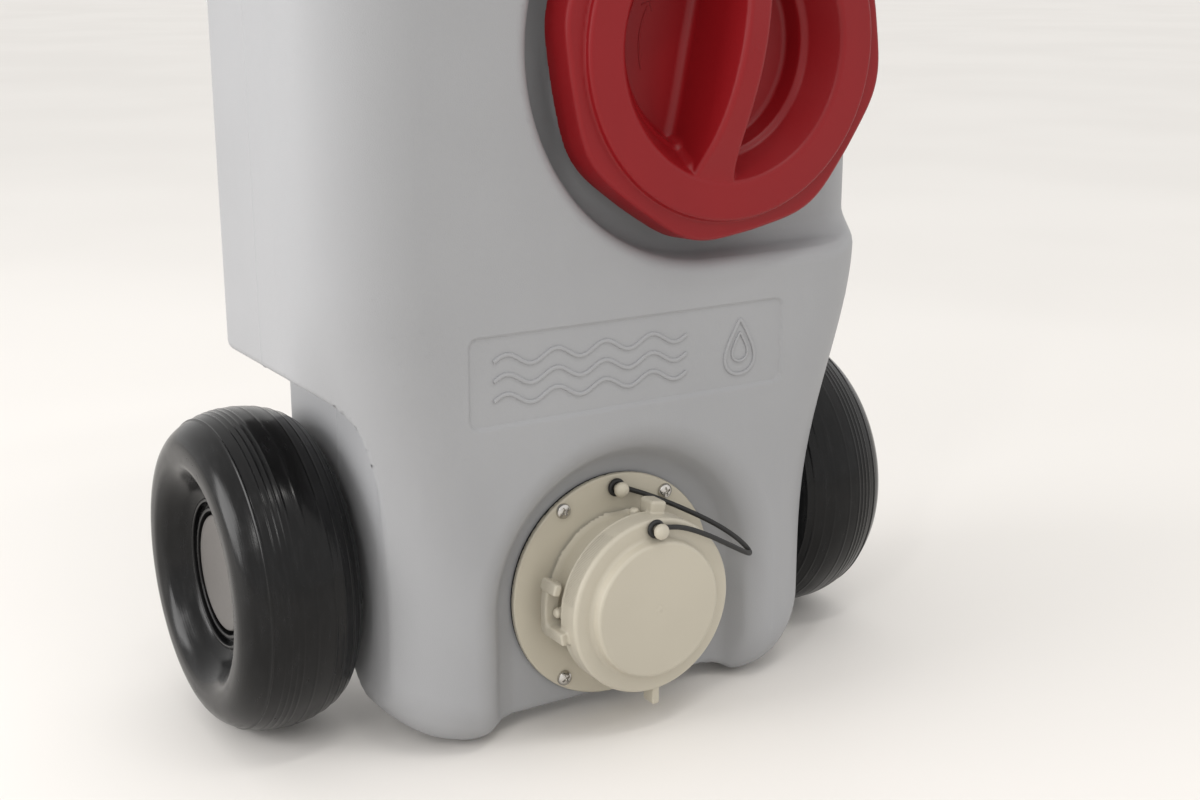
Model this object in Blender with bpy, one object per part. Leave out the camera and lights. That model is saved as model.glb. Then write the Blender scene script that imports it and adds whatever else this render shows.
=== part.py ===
"""Portable waste tote: a blow-moulded 40 litre tank on two large wheels, with a lobed screw
filler cap, a bayonet outlet with a tethered cap, a vent and a pull-out tow handle.

Metres, +Z up. The tank's flat front faces -Y, and "depth" is counted backwards from that front.
The origin is at the middle of the footprint, on the ground.
"""
import math

import bmesh
import bpy
from mathutils import Vector

# ---- driving dimensions -------------------------------------------------------------------
FRONT = -0.09525            # y of the tank's flat front face
DEPTH = 0.166               # front face to rear face
WALL = 0.004                # moulded wall
GAP = 0.0003                # between pieces that touch

HALF_WIDTH = 0.198          # upper tank
WAIST_HALF = 0.160          # lower tank, between the wheels
WAIST_LOW = 0.070           # the flare from waist to full width starts here
WAIST_HIGH = 0.285          # and ends here
BELLY = 0.009               # underside between the feet
HEEL = 0.0055               # underside just behind and outside the feet
HEEL_SLOPE = 0.60           # and its rise towards the rear, which clears the ground on the wheels
TANK_TOP = 0.815
FRONT_CORNER = 0.062        # plan radius of the front corners
REAR_CORNER = 0.026
BASE_SIDE_R = 0.058         # rounding under the sides
BASE_EDGE_R = 0.036         # rounding under front and rear
TOP_SIDE_R = 0.045
TOP_EDGE_R = 0.028

FOOT_INNER = 0.084          # the feet are small flats under the tank's front corners
FOOT_OUTER = 0.106
FOOT_REAR = 0.056

WHEEL_R = 0.100
WHEEL_X = 0.197             # middle of the tread
WHEEL_HALF = 0.038
TREAD_DROP = 0.024          # how far the tread falls to the edge of the wheel
WHEEL_DEPTH = 0.127         # axle behind the front face
AXLE_R = 0.006
POCKET_WALL = 0.153         # tank side inside the wheel pocket
POCKET_ROOF = 0.234
POCKET_FRONT = 0.026

CAP_X = 0.0573              # filler cap, to the right of the middle
CAP_Z = 0.412
CAP_FACE = -0.019           # depth of the cap's ring face
CAP_TILT = math.radians(11)
RECESS_R = 0.1275           # moulded recess around the filler cap
RECESS_DEPTH = 0.030
NECK_OUT = 0.099
NECK_IN = 0.084
NECK_END = -0.0059

OUTLET_Z = 0.083
BAY_DEPTH = 0.0273          # floor of the recess around the outlet
BAY_R_FRONT = 0.098
BAY_R_FLOOR = 0.079
FLANGE_R = 0.072
FLANGE_FACE = 0.022
FLANGE_T = 0.0032
GASKET_T = 0.0015
SPOUT_OUT = 0.047
SPOUT_IN = 0.040
SPOUT_END = -0.0148
PIN_REACH = 0.0565
PIN_R = 0.0032
SCREW_X = 0.037
SCREW_Z = 0.0548
PEG_REACH = 0.064           # tether peg on the flange, above the spout's axis
PEG_SHAFT = 0.0042

CUP_R = 0.0555              # outlet cap
CUP_FACE = -0.022
CUP_REAR = -0.0045
DISC_R = 0.0425
DISC_FACE = -0.029
CUP_PEG = 0.0503

LABEL_Z = 0.2308
LABEL_HALF = (0.1108, 0.0275)

TUBE_X = 0.105              # tow handle legs
TUBE_R = 0.008
TUBE_DEPTH = 0.164
TUBE_LOW = 0.375
TUBE_HIGH = 0.857
CHANNEL_HALF = 0.0125
CHANNEL_FLOOR = 0.152
CHANNEL_LOW = 0.3655
CLAMP_LEVELS = (0.690, 0.770)
CLAMP_HALF = (0.025, 0.011)
CLAMP_SCREW = 0.0185        # clamp screws either side of the leg
STRAP_T = 0.0035
SCREW_HOLE_R = 0.0022
BOSS_R = 0.006              # screw bosses inside the tank
BOSS_LENGTH = 0.0135
SCREW_LENGTH = 0.012

GRIP_HOLE_LOW = 0.750       # moulded carry handle
GRIP_HOLE_HIGH = 0.782
SCOOP_HALF = 0.070
SCOOP_FRONT = 0.058
SCOOP_REAR = 0.108

VENT_X = -0.125
VENT_DEPTH = 0.083

TETHER_R = 0.0016


# ---- small tools --------------------------------------------------------------------------
def at(x, depth, z):
    """World point from a place counted from the front face."""
    return Vector((x, FRONT + depth, z))


def arc(centre, radius, start, stop, count):
    """Points on a circle, angles in degrees, both ends included."""
    points = []
    for i in range(count + 1):
        a = math.radians(start + (stop - start) * i / count)
        points.append((centre[0] + radius * math.cos(a), centre[1] + radius * math.sin(a)))
    return points


def material(name, colour, roughness, metallic=0.0):
    mat = bpy.data.materials.get(name) or bpy.data.materials.new(name)
    mat.use_nodes = True
    shader = mat.node_tree.nodes["Principled BSDF"]
    shader.inputs["Base Color"].default_value = (*colour, 1.0)
    shader.inputs["Roughness"].default_value = roughness
    shader.inputs["Metallic"].default_value = metallic
    mat.diffuse_color = (*colour, 1.0)
    return mat


def finish(name, verts, faces, mat, origin):
    """A closed mesh object with its faces outward; verts are counted from its origin."""
    mesh = bpy.data.meshes.new(name)
    mesh.from_pydata([tuple(v) for v in verts], [], faces)
    bm = bmesh.new()
    bm.from_mesh(mesh)
    bmesh.ops.recalc_face_normals(bm, faces=bm.faces)
    bm.to_mesh(mesh)
    bm.free()
    mesh.shade_smooth()
    mesh.set_sharp_from_angle(angle=math.radians(32))
    piece = bpy.data.objects.new(name, mesh)
    piece.location = origin
    bpy.context.scene.collection.objects.link(piece)
    if mat is not None:
        mesh.materials.append(mat)
    return piece


def hide_tool(tool):
    tool.hide_render = True
    tool.display_type = "WIRE"


def boolean(piece, tool, operation="DIFFERENCE"):
    hide_tool(tool)
    step = piece.modifiers.new(tool.name, "BOOLEAN")
    step.operation = operation
    step.solver = "EXACT"
    step.object = tool
    return piece


def frame_of(axis):
    """Two directions square to the axis: sideways first, then up where there is an up."""
    axis = Vector(axis).normalized()
    if abs(axis.z) > 0.9:
        return axis, Vector((1, 0, 0)), Vector((0, 1, 0))
    across = Vector((0, 1, 0)) if abs(axis.x) > 0.9 else Vector((1, 0, 0))
    return axis, across, Vector((0, 0, 1))


def turned(name, profile, origin, axis, mat=None, segments=40, swell=None, phase=0.0):
    """A turned piece: (radius, height) points, heights along the axis from the origin.

    Points of zero radius close the piece; a profile without them is a closed ring section.
    swell(angle, radius) gives the radius used there, for lobed edges; phase turns the first
    segment by that part of one segment, which keeps crossing pieces from sharing edges.
    """
    axis, u, v = frame_of(axis)
    verts = []
    rows = []
    for radius, height in profile:
        if radius < 1e-9:
            rows.append([len(verts)] * segments)
            verts.append(axis * height)
            continue
        row = []
        for i in range(segments):
            a = 2 * math.pi * (i + phase) / segments
            r = swell(a, radius) if swell else radius
            row.append(len(verts))
            verts.append(axis * height + (u * math.cos(a) + v * math.sin(a)) * r)
        rows.append(row)
    closed = profile[0][0] > 1e-9
    pairs = list(zip(rows, rows[1:]))
    if closed:
        pairs.append((rows[-1], rows[0]))
    faces = []
    for low, high in pairs:
        for i in range(segments):
            j = (i + 1) % segments
            ring = [low[i], low[j], high[j], high[i]]
            faces.append(list(dict.fromkeys(ring)))
    faces = [f for f in faces if len(f) > 2]
    return finish(name, verts, faces, mat, origin)


def rod(name, radius, start, stop, mat=None, segments=16, phase=0.0):
    """A plain round rod between two world points, its origin at the start."""
    start = Vector(start)
    way = Vector(stop) - start
    profile = [(0, 0), (radius, 0), (radius, way.length), (0, way.length)]
    return turned(name, profile, start, way, mat, segments, None, phase)


def loft(name, rings, mat=None, origin=(0, 0, 0)):
    """Skin over rings of equal length, with flat ends; points are in world space."""
    origin = Vector(origin)
    count = len(rings[0])
    verts = [Vector(p) - origin for ring in rings for p in ring]
    faces = []
    for k in range(len(rings) - 1):
        for i in range(count):
            j = (i + 1) % count
            a = k * count
            b = a + count
            faces.append([a + i, a + j, b + j, b + i])
    faces.append(list(range(count)))
    faces.append(list(range(len(verts) - count, len(verts))))
    return finish(name, verts, faces, mat, origin)


def prism_x(name, outline, low, high, mat=None):
    """Outline of (depth, z) points, run along X."""
    return loft(name, [[at(x, d, z) for d, z in outline] for x in (low, high)], mat)


def prism_y(name, outline, low, high, mat=None):
    """Outline of (x, z) points, run backwards from one depth to another."""
    return loft(name, [[at(x, d, z) for x, z in outline] for d in (low, high)], mat)


def prism_z(name, outline, low, high, mat=None):
    """Outline of (x, depth) points, run upwards."""
    return loft(name, [[at(x, d, z) for x, d in outline] for z in (low, high)], mat)


def rounded_box(half_a, half_b, radius, centre=(0, 0), count=4):
    """Outline of a rectangle with round corners."""
    points = []
    corners = ((1, 1, 0), (-1, 1, 90), (-1, -1, 180), (1, -1, 270))
    for sa, sb, start in corners:
        middle = (centre[0] + sa * (half_a - radius), centre[1] + sb * (half_b - radius))
        points.extend(arc(middle, radius, start, start + 90, count))
    return points


# ---- materials ----------------------------------------------------------------------------
TANK_GREY = material("tank_plastic", (0.56, 0.56, 0.58), 0.55)
CAP_RED = material("cap_plastic", (0.30, 0.018, 0.022), 0.42)
FITTING = material("fitting_plastic", (0.52, 0.48, 0.38), 0.45)
WHEEL_BLACK = material("wheel_plastic", (0.012, 0.012, 0.013), 0.28)
HUB_GREY = material("hub_plastic", (0.20, 0.19, 0.185), 0.40)
STEEL = material("steel", (0.62, 0.60, 0.58), 0.28, 1.0)
ALUMINIUM = material("aluminium", (0.66, 0.67, 0.68), 0.35, 1.0)
RUBBER = material("rubber", (0.012, 0.012, 0.012), 0.60)
GRIP_BLACK = material("grip_plastic", (0.02, 0.02, 0.022), 0.50)


# ---- tank ---------------------------------------------------------------------------------
def ramp(value, low, high):
    """0 below low, 1 above high, eased between them."""
    t = min(max((value - low) / (high - low), 0.0), 1.0)
    return t * t * (3 - 2 * t)


def half_width(z):
    """Half width of the tank at a height: narrow between the wheels, flaring to full width."""
    ease = ramp(z, WAIST_LOW, WAIST_HIGH) ** 1.6
    return WAIST_HALF + (HALF_WIDTH - WAIST_HALF) * ease


def inset(z, gap, low_r, high_r):
    """How far an edge rounding pulls the wall in at a height."""
    low_centre = low_r
    high_centre = TANK_TOP - high_r
    if z < low_centre:
        r = low_r - gap
        return r - math.sqrt(max(r * r - (low_centre - z) ** 2, 0.0))
    if z > high_centre:
        r = high_r - gap
        return r - math.sqrt(max(r * r - (z - high_centre) ** 2, 0.0))
    return 0.0


def tank_ring(z, gap, steps):
    """Rounded plan outline of the tank at a height, drawn in by the gap."""
    side = inset(z, gap, BASE_SIDE_R, TOP_SIDE_R)
    edge = inset(z, gap, BASE_EDGE_R, TOP_EDGE_R)
    half = half_width(z) - gap - side
    front = gap + edge
    rear = DEPTH - gap - edge
    corner = FRONT_CORNER - gap - 0.45 * side
    back = max(REAR_CORNER - gap - 0.3 * edge, 0.006)
    points = arc((half - back, rear - back), back, 0, 90, steps // 2)
    points += arc((-half + back, rear - back), back, 90, 180, steps // 2)
    points += arc((-half + corner, front + corner), corner, 180, 270, steps)
    points += arc((half - corner, front + corner), corner, 270, 360, steps)
    flare = (HALF_WIDTH - half_width(z)) * ramp(z, 0.16, 0.21)
    ring = []
    for x, d in points:
        out = flare * ramp(d, 0.024, 0.054)
        ring.append(at(x + math.copysign(out, x), d, z))
    return ring


def tank_levels(gap, fine):
    low = gap
    high = TANK_TOP - gap
    levels = []
    for i in range(fine + 1):
        s = 1 - math.cos(math.pi / 2 * i / fine)
        levels.append(low + (BASE_SIDE_R - gap) * s)
    count = 2 * fine
    for i in range(count + 1):
        levels.append(WAIST_LOW + (WAIST_HIGH - WAIST_LOW) * i / count)
    for i in range(fine + 1):
        s = 1 - math.sin(math.pi / 2 * i / fine)
        levels.append(high - (TOP_SIDE_R - gap) * s)
    return sorted(levels)


def cap_recess(gap):
    """Round recess for the filler cap, with a drafted wall."""
    r = RECESS_R + gap
    floor = RECESS_DEPTH + gap
    profile = [(0, -0.04), (r + 0.006, -0.04), (r + 0.006, 0.0), (r, 0.003),
               (r - 0.005, floor - 0.007), (r - 0.009, floor - 0.001), (r - 0.013, floor), (0, floor)]
    return turned("recess_tool", profile, at(CAP_X, 0, CAP_Z), (0, 1, 0), None, 48)


def recess_side(gap):
    """Opens the cap's recess to the right-hand side of the tank, with a rounded new corner."""
    floor = RECESS_DEPTH + gap + 0.0003
    corner = 0.035
    edge = HALF_WIDTH - gap
    start = CAP_X + 0.004
    outline = [(start, -0.04), (start, floor)]
    outline += arc((edge - corner, floor + corner), corner, 270, 360, 6)
    outline += [(edge + 0.06, floor + corner + 0.001), (edge + 0.06, -0.04)]
    half = RECESS_R - 0.0005 + gap
    return prism_z("recess_side_tool", outline, CAP_Z - half, CAP_Z + half)


def arch(radius, low):
    """Outlet bay outline: half round above the spout's axis, straight sides below it."""
    points = [(radius, low)]
    points += arc((0, OUTLET_Z), radius, 0, 180, 20)
    points.append((-radius, low))
    return points


def outlet_bay(gap):
    rings = []
    slope = (BAY_R_FRONT - BAY_R_FLOOR) / BAY_DEPTH
    for depth, radius in ((-0.01, BAY_R_FRONT + 0.01 * slope), (BAY_DEPTH - 0.004, BAY_R_FLOOR + 0.003),
                          (BAY_DEPTH, BAY_R_FLOOR - 0.001)):
        rings.append([at(x, depth + gap, z) for x, z in arch(radius + gap, -0.03)])
    return loft("bay_tool", rings)


def wheel_pocket(side, gap):
    """Room for a wheel: flat roof, rounded down to an upright front."""
    roof = POCKET_ROOF + gap
    front = POCKET_FRONT - gap
    turn = 0.034
    outline = [(0.30, -0.03), (0.30, roof)]
    outline += arc((front + turn, roof - turn), turn, 90, 180, 6)
    outline += [(front - 0.002, 0.10), (front - 0.002, -0.03)]
    low, high = sorted((side * (POCKET_WALL - gap), side * 0.30))
    return prism_x("pocket_tool", outline, low, high)


def scoop(gap):
    """Tools that leave a carry handle across the top: front scoop, rear scoop and grip hole."""
    low = GRIP_HOLE_LOW - gap
    half = SCOOP_HALF + gap
    high = TANK_TOP + 0.03
    middle = (low + high) / 2
    outline = rounded_box(half, (high - low) / 2, 0.018, (0, middle))
    hole = rounded_box(half - 0.002, (GRIP_HOLE_HIGH - GRIP_HOLE_LOW) / 2 + gap, 0.014,
                       (0, (GRIP_HOLE_LOW + GRIP_HOLE_HIGH) / 2 + 0.0006))
    return [prism_y("scoop_front_tool", outline, -0.04, SCOOP_FRONT + gap),
            prism_y("scoop_rear_tool", outline, SCOOP_REAR - gap, DEPTH + 0.04),
            prism_y("grip_hole_tool", hole, 0.03, 0.14)]


def heel(gap):
    """Tool that raises the underside behind the feet along a slope, with rounded lower sides."""
    r = 0.052
    side = 0.1025
    rings = []
    for depth, under in ((FOOT_REAR, -0.0006), (FOOT_REAR + 0.0045, HEEL),
                         (0.30, HEEL + HEEL_SLOPE * (0.2955 - FOOT_REAR))):
        points = [(-0.30, -0.03), (0.30, -0.03), (0.30, under + r)]
        points += arc((side, under + r), r - gap, 0, -90, 8)
        points += arc((-side, under + r), r - gap, 270, 180, 8)
        points.append((-0.30, under + r))
        rings.append([at(x, depth - gap, z) for x, z in points])
    return loft("heel_tool", rings)


def belly(gap):
    """Tools that raise the underside between the feet, outside them and behind them."""
    low = FOOT_INNER + gap
    between = [(low + 0.010, -0.02), (low + 0.010, 0.0), (low, BELLY + gap)]
    between += [(-x, z) for x, z in reversed(between)]
    tools = [prism_y("belly_tool", between, -0.05, 0.25), heel(gap)]
    high = HEEL + gap - 0.0003
    for side in (-1, 1):
        edge = side * (FOOT_OUTER - gap)
        outline = [(edge, -0.02), (edge, 0.0), (edge + side * 0.0055, high), (side * 0.30, high),
                   (side * 0.30, -0.02)]
        tools.append(prism_y("foot_side_tool", outline, -0.05, 0.25))
    return tools


def channel(side, gap):
    """Upright groove in the rear face for one leg of the tow handle."""
    outline = rounded_box(CHANNEL_HALF + gap, 0.03, 0.006, (side * TUBE_X, CHANNEL_FLOOR - gap + 0.03), 2)
    return prism_z("channel_tool", outline, CHANNEL_LOW - gap, TANK_TOP + 0.04)


def tank_form(name, gap, steps, fine, mat=None):
    """The tank's outer or inner form: the plan outlines skinned, then every hollow cut away."""
    form = loft(name, [tank_ring(z, gap, steps) for z in tank_levels(gap, fine)], mat)
    tools = [cap_recess(gap), recess_side(gap), outlet_bay(gap)]
    tools += [wheel_pocket(side, gap) for side in (-1, 1)]
    tools += scoop(gap)
    tools += belly(gap)
    tools += [channel(side, gap) for side in (-1, 1)]
    tunnel = AXLE_R + 0.0025 + gap
    tools.append(rod("axle_tunnel_tool", tunnel, at(-0.3, WHEEL_DEPTH, WHEEL_R),
                     at(0.3, WHEEL_DEPTH, WHEEL_R), None, 16))
    for tool in tools:
        boolean(form, tool)
    return form


def make_tank():
    tank = tank_form("tank_shell", 0.0, 6, 5, TANK_GREY)
    neck = [(NECK_OUT, NECK_END), (NECK_OUT, RECESS_DEPTH + 0.002),
            (NECK_IN - 0.004, RECESS_DEPTH + 0.002), (NECK_IN - 0.004, NECK_END)]
    tool = turned("neck_tool", neck, at(CAP_X, 0, CAP_Z), (0, 1, 0), None, 48, None, 0.5)
    boolean(tank, tool, "UNION")
    vent_neck = [(0, -0.002), (0.013, -0.002), (0.013, 0.010), (0, 0.010)]
    vent_base = at(VENT_X, VENT_DEPTH, TANK_TOP)
    boolean(tank, turned("vent_neck_tool", vent_neck, vent_base, (0, 0, 1), None, 20), "UNION")
    inside = tank_form("tank_inside_tool", WALL, 4, 3)
    bosses = [(at(x, BAY_DEPTH - 0.01, z), at(x, BAY_DEPTH + BOSS_LENGTH, z)) for x, z in outlet_screw_places()]
    bosses += [(at(x, DEPTH - BOSS_LENGTH, z), at(x, DEPTH + 0.01, z)) for x, z in clamp_screw_places()]
    for low, high in bosses:
        boolean(inside, rod("boss_tool", BOSS_R, low, high, None, 6, 0.3))
    boolean(tank, inside)
    bores = [rod("mouth_tool", NECK_IN, at(CAP_X, -0.03, CAP_Z), at(CAP_X, 0.06, CAP_Z), None, 48, 0.27),
             rod("spout_hole_tool", 0.043, at(0, 0.0, OUTLET_Z), at(0, 0.05, OUTLET_Z), None, 32),
             rod("vent_bore_tool", 0.0085, vent_base - Vector((0, 0, 0.02)), vent_base + Vector((0, 0, 0.03)),
                 None, 16)]
    label = rounded_box(LABEL_HALF[0], LABEL_HALF[1], 0.007, (0, LABEL_Z), 3)
    bores.append(prism_y("label_tool", label, -0.01, 0.0014))
    for x, z in outlet_screw_places():
        low = at(x, 0.01, z)
        bores.append(rod("screw_hole_tool", SCREW_HOLE_R, low, at(x, BAY_DEPTH + 0.010, z), None, 8))
    for x, z in clamp_screw_places():
        low = at(x, DEPTH - 0.011, z)
        bores.append(rod("clamp_hole_tool", SCREW_HOLE_R, low, at(x, DEPTH + 0.02, z), None, 8))
    for tool in bores:
        boolean(tank, tool)
    return tank


# ---- filler cap ---------------------------------------------------------------------------
def lobes(angle, radius):
    """Eight soft lobes on the cap's skirt; the first lies 12.5 degrees below the right."""
    if radius < 0.1005:
        return radius
    wave = 0.5 + 0.5 * math.cos(8 * (angle + math.radians(12.5)))
    return radius - 0.0018 + 0.0036 * wave ** 1.3


def make_filler_cap():
    """Hollow cap: lobed skirt, flat ring, deep bowl with an arched grip rib across it."""
    origin = at(CAP_X, 0, CAP_Z)
    f = CAP_FACE
    profile = [(0, 0.0145), (0.0575, 0.0145), (0.0610, 0.0040), (0.0655, 0.0022), (0.0745, f + 0.002),
               (0.0772, f), (0.0950, f), (0.0985, f + 0.0015), (0.1000, f + 0.0045), (0.1085, f + 0.0050),
               (0.1110, f + 0.0075), (0.1120, 0.0090), (0.1050, 0.0090), (0.1035, f + 0.0095),
               (0.0800, f + 0.0095), (0.0700, 0.0055), (0.0645, 0.0080), (0.0605, 0.0185), (0, 0.0185)]
    cap = turned("filler_cap", profile, origin, (0, 1, 0), CAP_RED, 48, lobes)
    along = Vector((math.sin(CAP_TILT), 0, math.cos(CAP_TILT)))
    across = Vector((math.cos(CAP_TILT), 0, -math.sin(CAP_TILT)))
    rings = []
    count = 12
    for i in range(count + 1):
        s = -0.079 + 0.158 * i / count
        bulge = max(1 - (s / 0.072) ** 2, 0.0)
        front = f + 0.0012 - 0.0187 * bulge
        half = 0.0085 + 0.008 * (s / 0.079) ** 4
        foot = half + 0.0050
        deep = 0.0160 if abs(s) < 0.055 else 0.0040
        deep = deep if abs(s) < 0.060 else -0.0120
        centre = origin + along * s
        ring = []
        for u, d in ((-half + 0.002, front), (half - 0.002, front), (half, front + 0.003), (foot, deep),
                     (-foot, deep), (-half, front + 0.003)):
            ring.append(centre + across * u + Vector((0, d, 0)))
        rings.append(ring)
    return boolean(cap, loft("grip_rib_tool", rings), "UNION")


# ---- outlet -------------------------------------------------------------------------------
def outlet_screw_places():
    return [(sx * SCREW_X, OUTLET_Z + sz * SCREW_Z) for sx in (-1, 1) for sz in (-1, 1)]


def clamp_screw_places():
    places = []
    for z in CLAMP_LEVELS:
        for side in (-1, 1):
            for step in (-1, 1):
                places.append((side * TUBE_X + step * CLAMP_SCREW, z))
    return places


def peg(name, base):
    """Mushroom peg for the tether's ring, pointing forwards."""
    profile = [(0, 0.002), (0.0022, 0.002), (0.0022, -PEG_SHAFT), (0.0044, -PEG_SHAFT - 0.0006),
               (0.0050, -PEG_SHAFT - 0.0030), (0.0036, -PEG_SHAFT - 0.0064), (0, -PEG_SHAFT - 0.0078)]
    return turned(name, profile, base, (0, 1, 0), None, 10)


def make_outlet_flange():
    origin = at(0, 0, OUTLET_Z)
    back = FLANGE_FACE + FLANGE_T
    profile = [(SPOUT_IN, SPOUT_END), (SPOUT_OUT, SPOUT_END), (SPOUT_OUT, FLANGE_FACE - 0.006),
               (SPOUT_OUT + 0.0018, FLANGE_FACE - 0.0018), (SPOUT_OUT + 0.006, FLANGE_FACE),
               (FLANGE_R - 0.0008, FLANGE_FACE), (FLANGE_R, FLANGE_FACE + 0.0008), (FLANGE_R, back),
               (0.0415, back), (0.0415, BAY_DEPTH + 0.012), (SPOUT_IN, BAY_DEPTH + 0.012)]
    flange = turned("outlet_flange", profile, origin, (0, 1, 0), FITTING, 40)
    for i in range(4):
        a = math.radians(90 * i)
        way = Vector((math.cos(a), 0, math.sin(a)))
        pin = [(0, 0.0445), (PIN_R, 0.0445), (PIN_R, PIN_REACH - 0.0025), (0.0022, PIN_REACH - 0.0006),
               (0, PIN_REACH)]
        boolean(flange, turned("pin_tool", pin, origin, way, None, 10), "UNION")
    boolean(flange, peg("flange_peg_tool", at(0, FLANGE_FACE, OUTLET_Z + PEG_REACH)), "UNION")
    for x, z in outlet_screw_places():
        boolean(flange, rod("flange_hole_tool", SCREW_HOLE_R, at(x, 0.01, z), at(x, 0.04, z), None, 8))
    return flange


def make_gasket():
    face = FLANGE_FACE + FLANGE_T + GAP
    rear = face + GASKET_T
    profile = [(0.0440, face), (0.0715, face), (0.0715, rear), (0.0440, rear)]
    gasket = turned("outlet_gasket", profile, at(0, 0, OUTLET_Z), (0, 1, 0), RUBBER, 32)
    for x, z in outlet_screw_places():
        boolean(gasket, rod("gasket_hole_tool", SCREW_HOLE_R, at(x, 0.01, z), at(x, 0.04, z), None, 8))
    return gasket


def make_screw(name, head_face, place, facing):
    """Pan-head screw: the head sits on head_face, the shank runs into the tank's wall."""
    s = facing
    profile = [(0, s * 0.0030), (0.0034, s * 0.0025), (0.0050, s * 0.0008), (0.0050, s * GAP),
               (0.0019, s * GAP), (0.0019, -s * (SCREW_LENGTH - 0.002)), (0, -s * SCREW_LENGTH)]
    return turned(name, profile, at(place[0], head_face, place[1]), (0, 1, 0), STEEL, 8)


def make_outlet_cap():
    """Bayonet cup: raised disc, skirt, four hooks behind the spout's pins, tether peg and tab.

    Each hook is a root beside its pin, a leg behind the pin and a raised tip past the leg's end."""
    origin = at(0, 0, OUTLET_Z)
    inner = 0.0492
    profile = [(0, DISC_FACE), (DISC_R - 0.0015, DISC_FACE), (DISC_R, DISC_FACE + 0.0015),
               (DISC_R + 0.0018, CUP_FACE + 0.0008), (DISC_R + 0.003, CUP_FACE), (CUP_R - 0.002, CUP_FACE),
               (CUP_R, CUP_FACE + 0.002), (CUP_R - 0.0006, CUP_REAR), (inner, CUP_REAR),
               (inner, CUP_FACE + 0.0035), (0, CUP_FACE + 0.0035)]
    cap = turned("outlet_cap", profile, origin, (0, 1, 0), FITTING, 40)
    for i in range(4):
        pin_angle = 90 * i
        root = arc((0, 0), 0.0500, pin_angle + 16, pin_angle + 9, 2)
        root += arc((0, 0), 0.0602, pin_angle + 9, pin_angle + 16, 2)
        rings = [[origin + Vector((x, d, z)) for x, z in root] for d in (-0.012, 0.0105)]
        boolean(cap, loft("hook_root_tool", rings), "UNION")
        leg = arc((0, 0), 0.0502, pin_angle + 13, pin_angle - 18.5, 8)
        leg += arc((0, 0), 0.0603, pin_angle - 18.5, pin_angle + 13, 8)
        rings = [[origin + Vector((x, d, z)) for x, z in leg] for d in (0.0042, 0.0108)]
        boolean(cap, loft("hook_leg_tool", rings), "UNION")
        tip = arc((0, 0), 0.0572, pin_angle - 12.5, pin_angle - 19.5, 2)
        tip += arc((0, 0), 0.0622, pin_angle - 19.5, pin_angle - 12.5, 2)
        rings = [[origin + Vector((x, d, z)) for x, z in tip] for d in (-0.0060, 0.0104)]
        boolean(cap, loft("hook_tip_tool", rings), "UNION")
    boolean(cap, peg("cap_peg_tool", at(0, CUP_FACE, OUTLET_Z + CUP_PEG)), "UNION")
    tab = rounded_box(0.0025, 0.007, 0.0012, (0.004, OUTLET_Z - 0.059), 2)
    boolean(cap, prism_y("tab_tool", tab, CUP_FACE + 0.002, CUP_FACE + 0.013), "UNION")
    return cap


def make_outlet_cap_seal():
    face = CUP_FACE + 0.0035 + GAP
    rear = SPOUT_END - GAP
    profile = [(0.0395, face), (0.0485, face), (0.0485, rear), (0.0395, rear)]
    return turned("outlet_cap_seal", profile, at(0, 0, OUTLET_Z), (0, 1, 0), RUBBER, 32)


# The tether's route: from its ring on the flange's peg, out to the right in a loop, and back to
# its ring on the cap's peg. Points are (x, depth, z).
TETHER_ROUTE = [
    (0.0065, 0.0194, 0.1455), (0.0180, 0.0165, 0.1408), (0.0300, 0.0130, 0.1352), (0.0420, 0.0080, 0.1290),
    (0.0540, 0.0020, 0.1222), (0.0640, -0.0035, 0.1155), (0.0715, -0.0090, 0.1090), (0.0752, -0.0140, 0.1040),
    (0.0738, -0.0195, 0.1022), (0.0680, -0.0235, 0.1048), (0.0590, -0.0258, 0.1100), (0.0480, -0.0268, 0.1165),
    (0.0370, -0.0268, 0.1228), (0.0260, -0.0262, 0.1282), (0.0160, -0.0256, 0.1318), (0.0066, -0.0244, 0.1332),
]


def smooth_route(points, per_span):
    """Points on a curve that passes through the route, by Catmull-Rom weights."""
    ends = [points[0] * 2 - points[1]] + points + [points[-1] * 2 - points[-2]]
    result = []
    for k in range(1, len(ends) - 2):
        a, b, c, d = ends[k - 1:k + 3]
        for i in range(per_span):
            t = i / per_span
            result.append(0.5 * ((2 * b) + (c - a) * t + (2 * a - 5 * b + 4 * c - d) * t * t
                                 + (3 * b - a - 3 * c + d) * t ** 3))
    result.append(points[-1])
    return result


def make_tether():
    route = smooth_route([at(*p) for p in TETHER_ROUTE], 2)
    curve = bpy.data.curves.new("cap_tether", "CURVE")
    curve.dimensions = "3D"
    curve.bevel_depth = TETHER_R
    curve.bevel_resolution = 2
    curve.use_fill_caps = True
    spline = curve.splines.new("POLY")
    spline.points.add(len(route) - 1)
    for point, place in zip(spline.points, route):
        point.co = (*place, 1.0)
    curve.materials.append(RUBBER)
    tether = bpy.data.objects.new("cap_tether", curve)
    bpy.context.scene.collection.objects.link(tether)
    return tether


def make_tether_ring(name, centre):
    """Moulded ring end of the tether, around a peg and behind its head."""
    profile = arc((0.0042, 0), 0.0016, 0, 315, 7)
    return turned(name, profile, centre, (0, 1, 0), RUBBER, 16)


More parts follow.
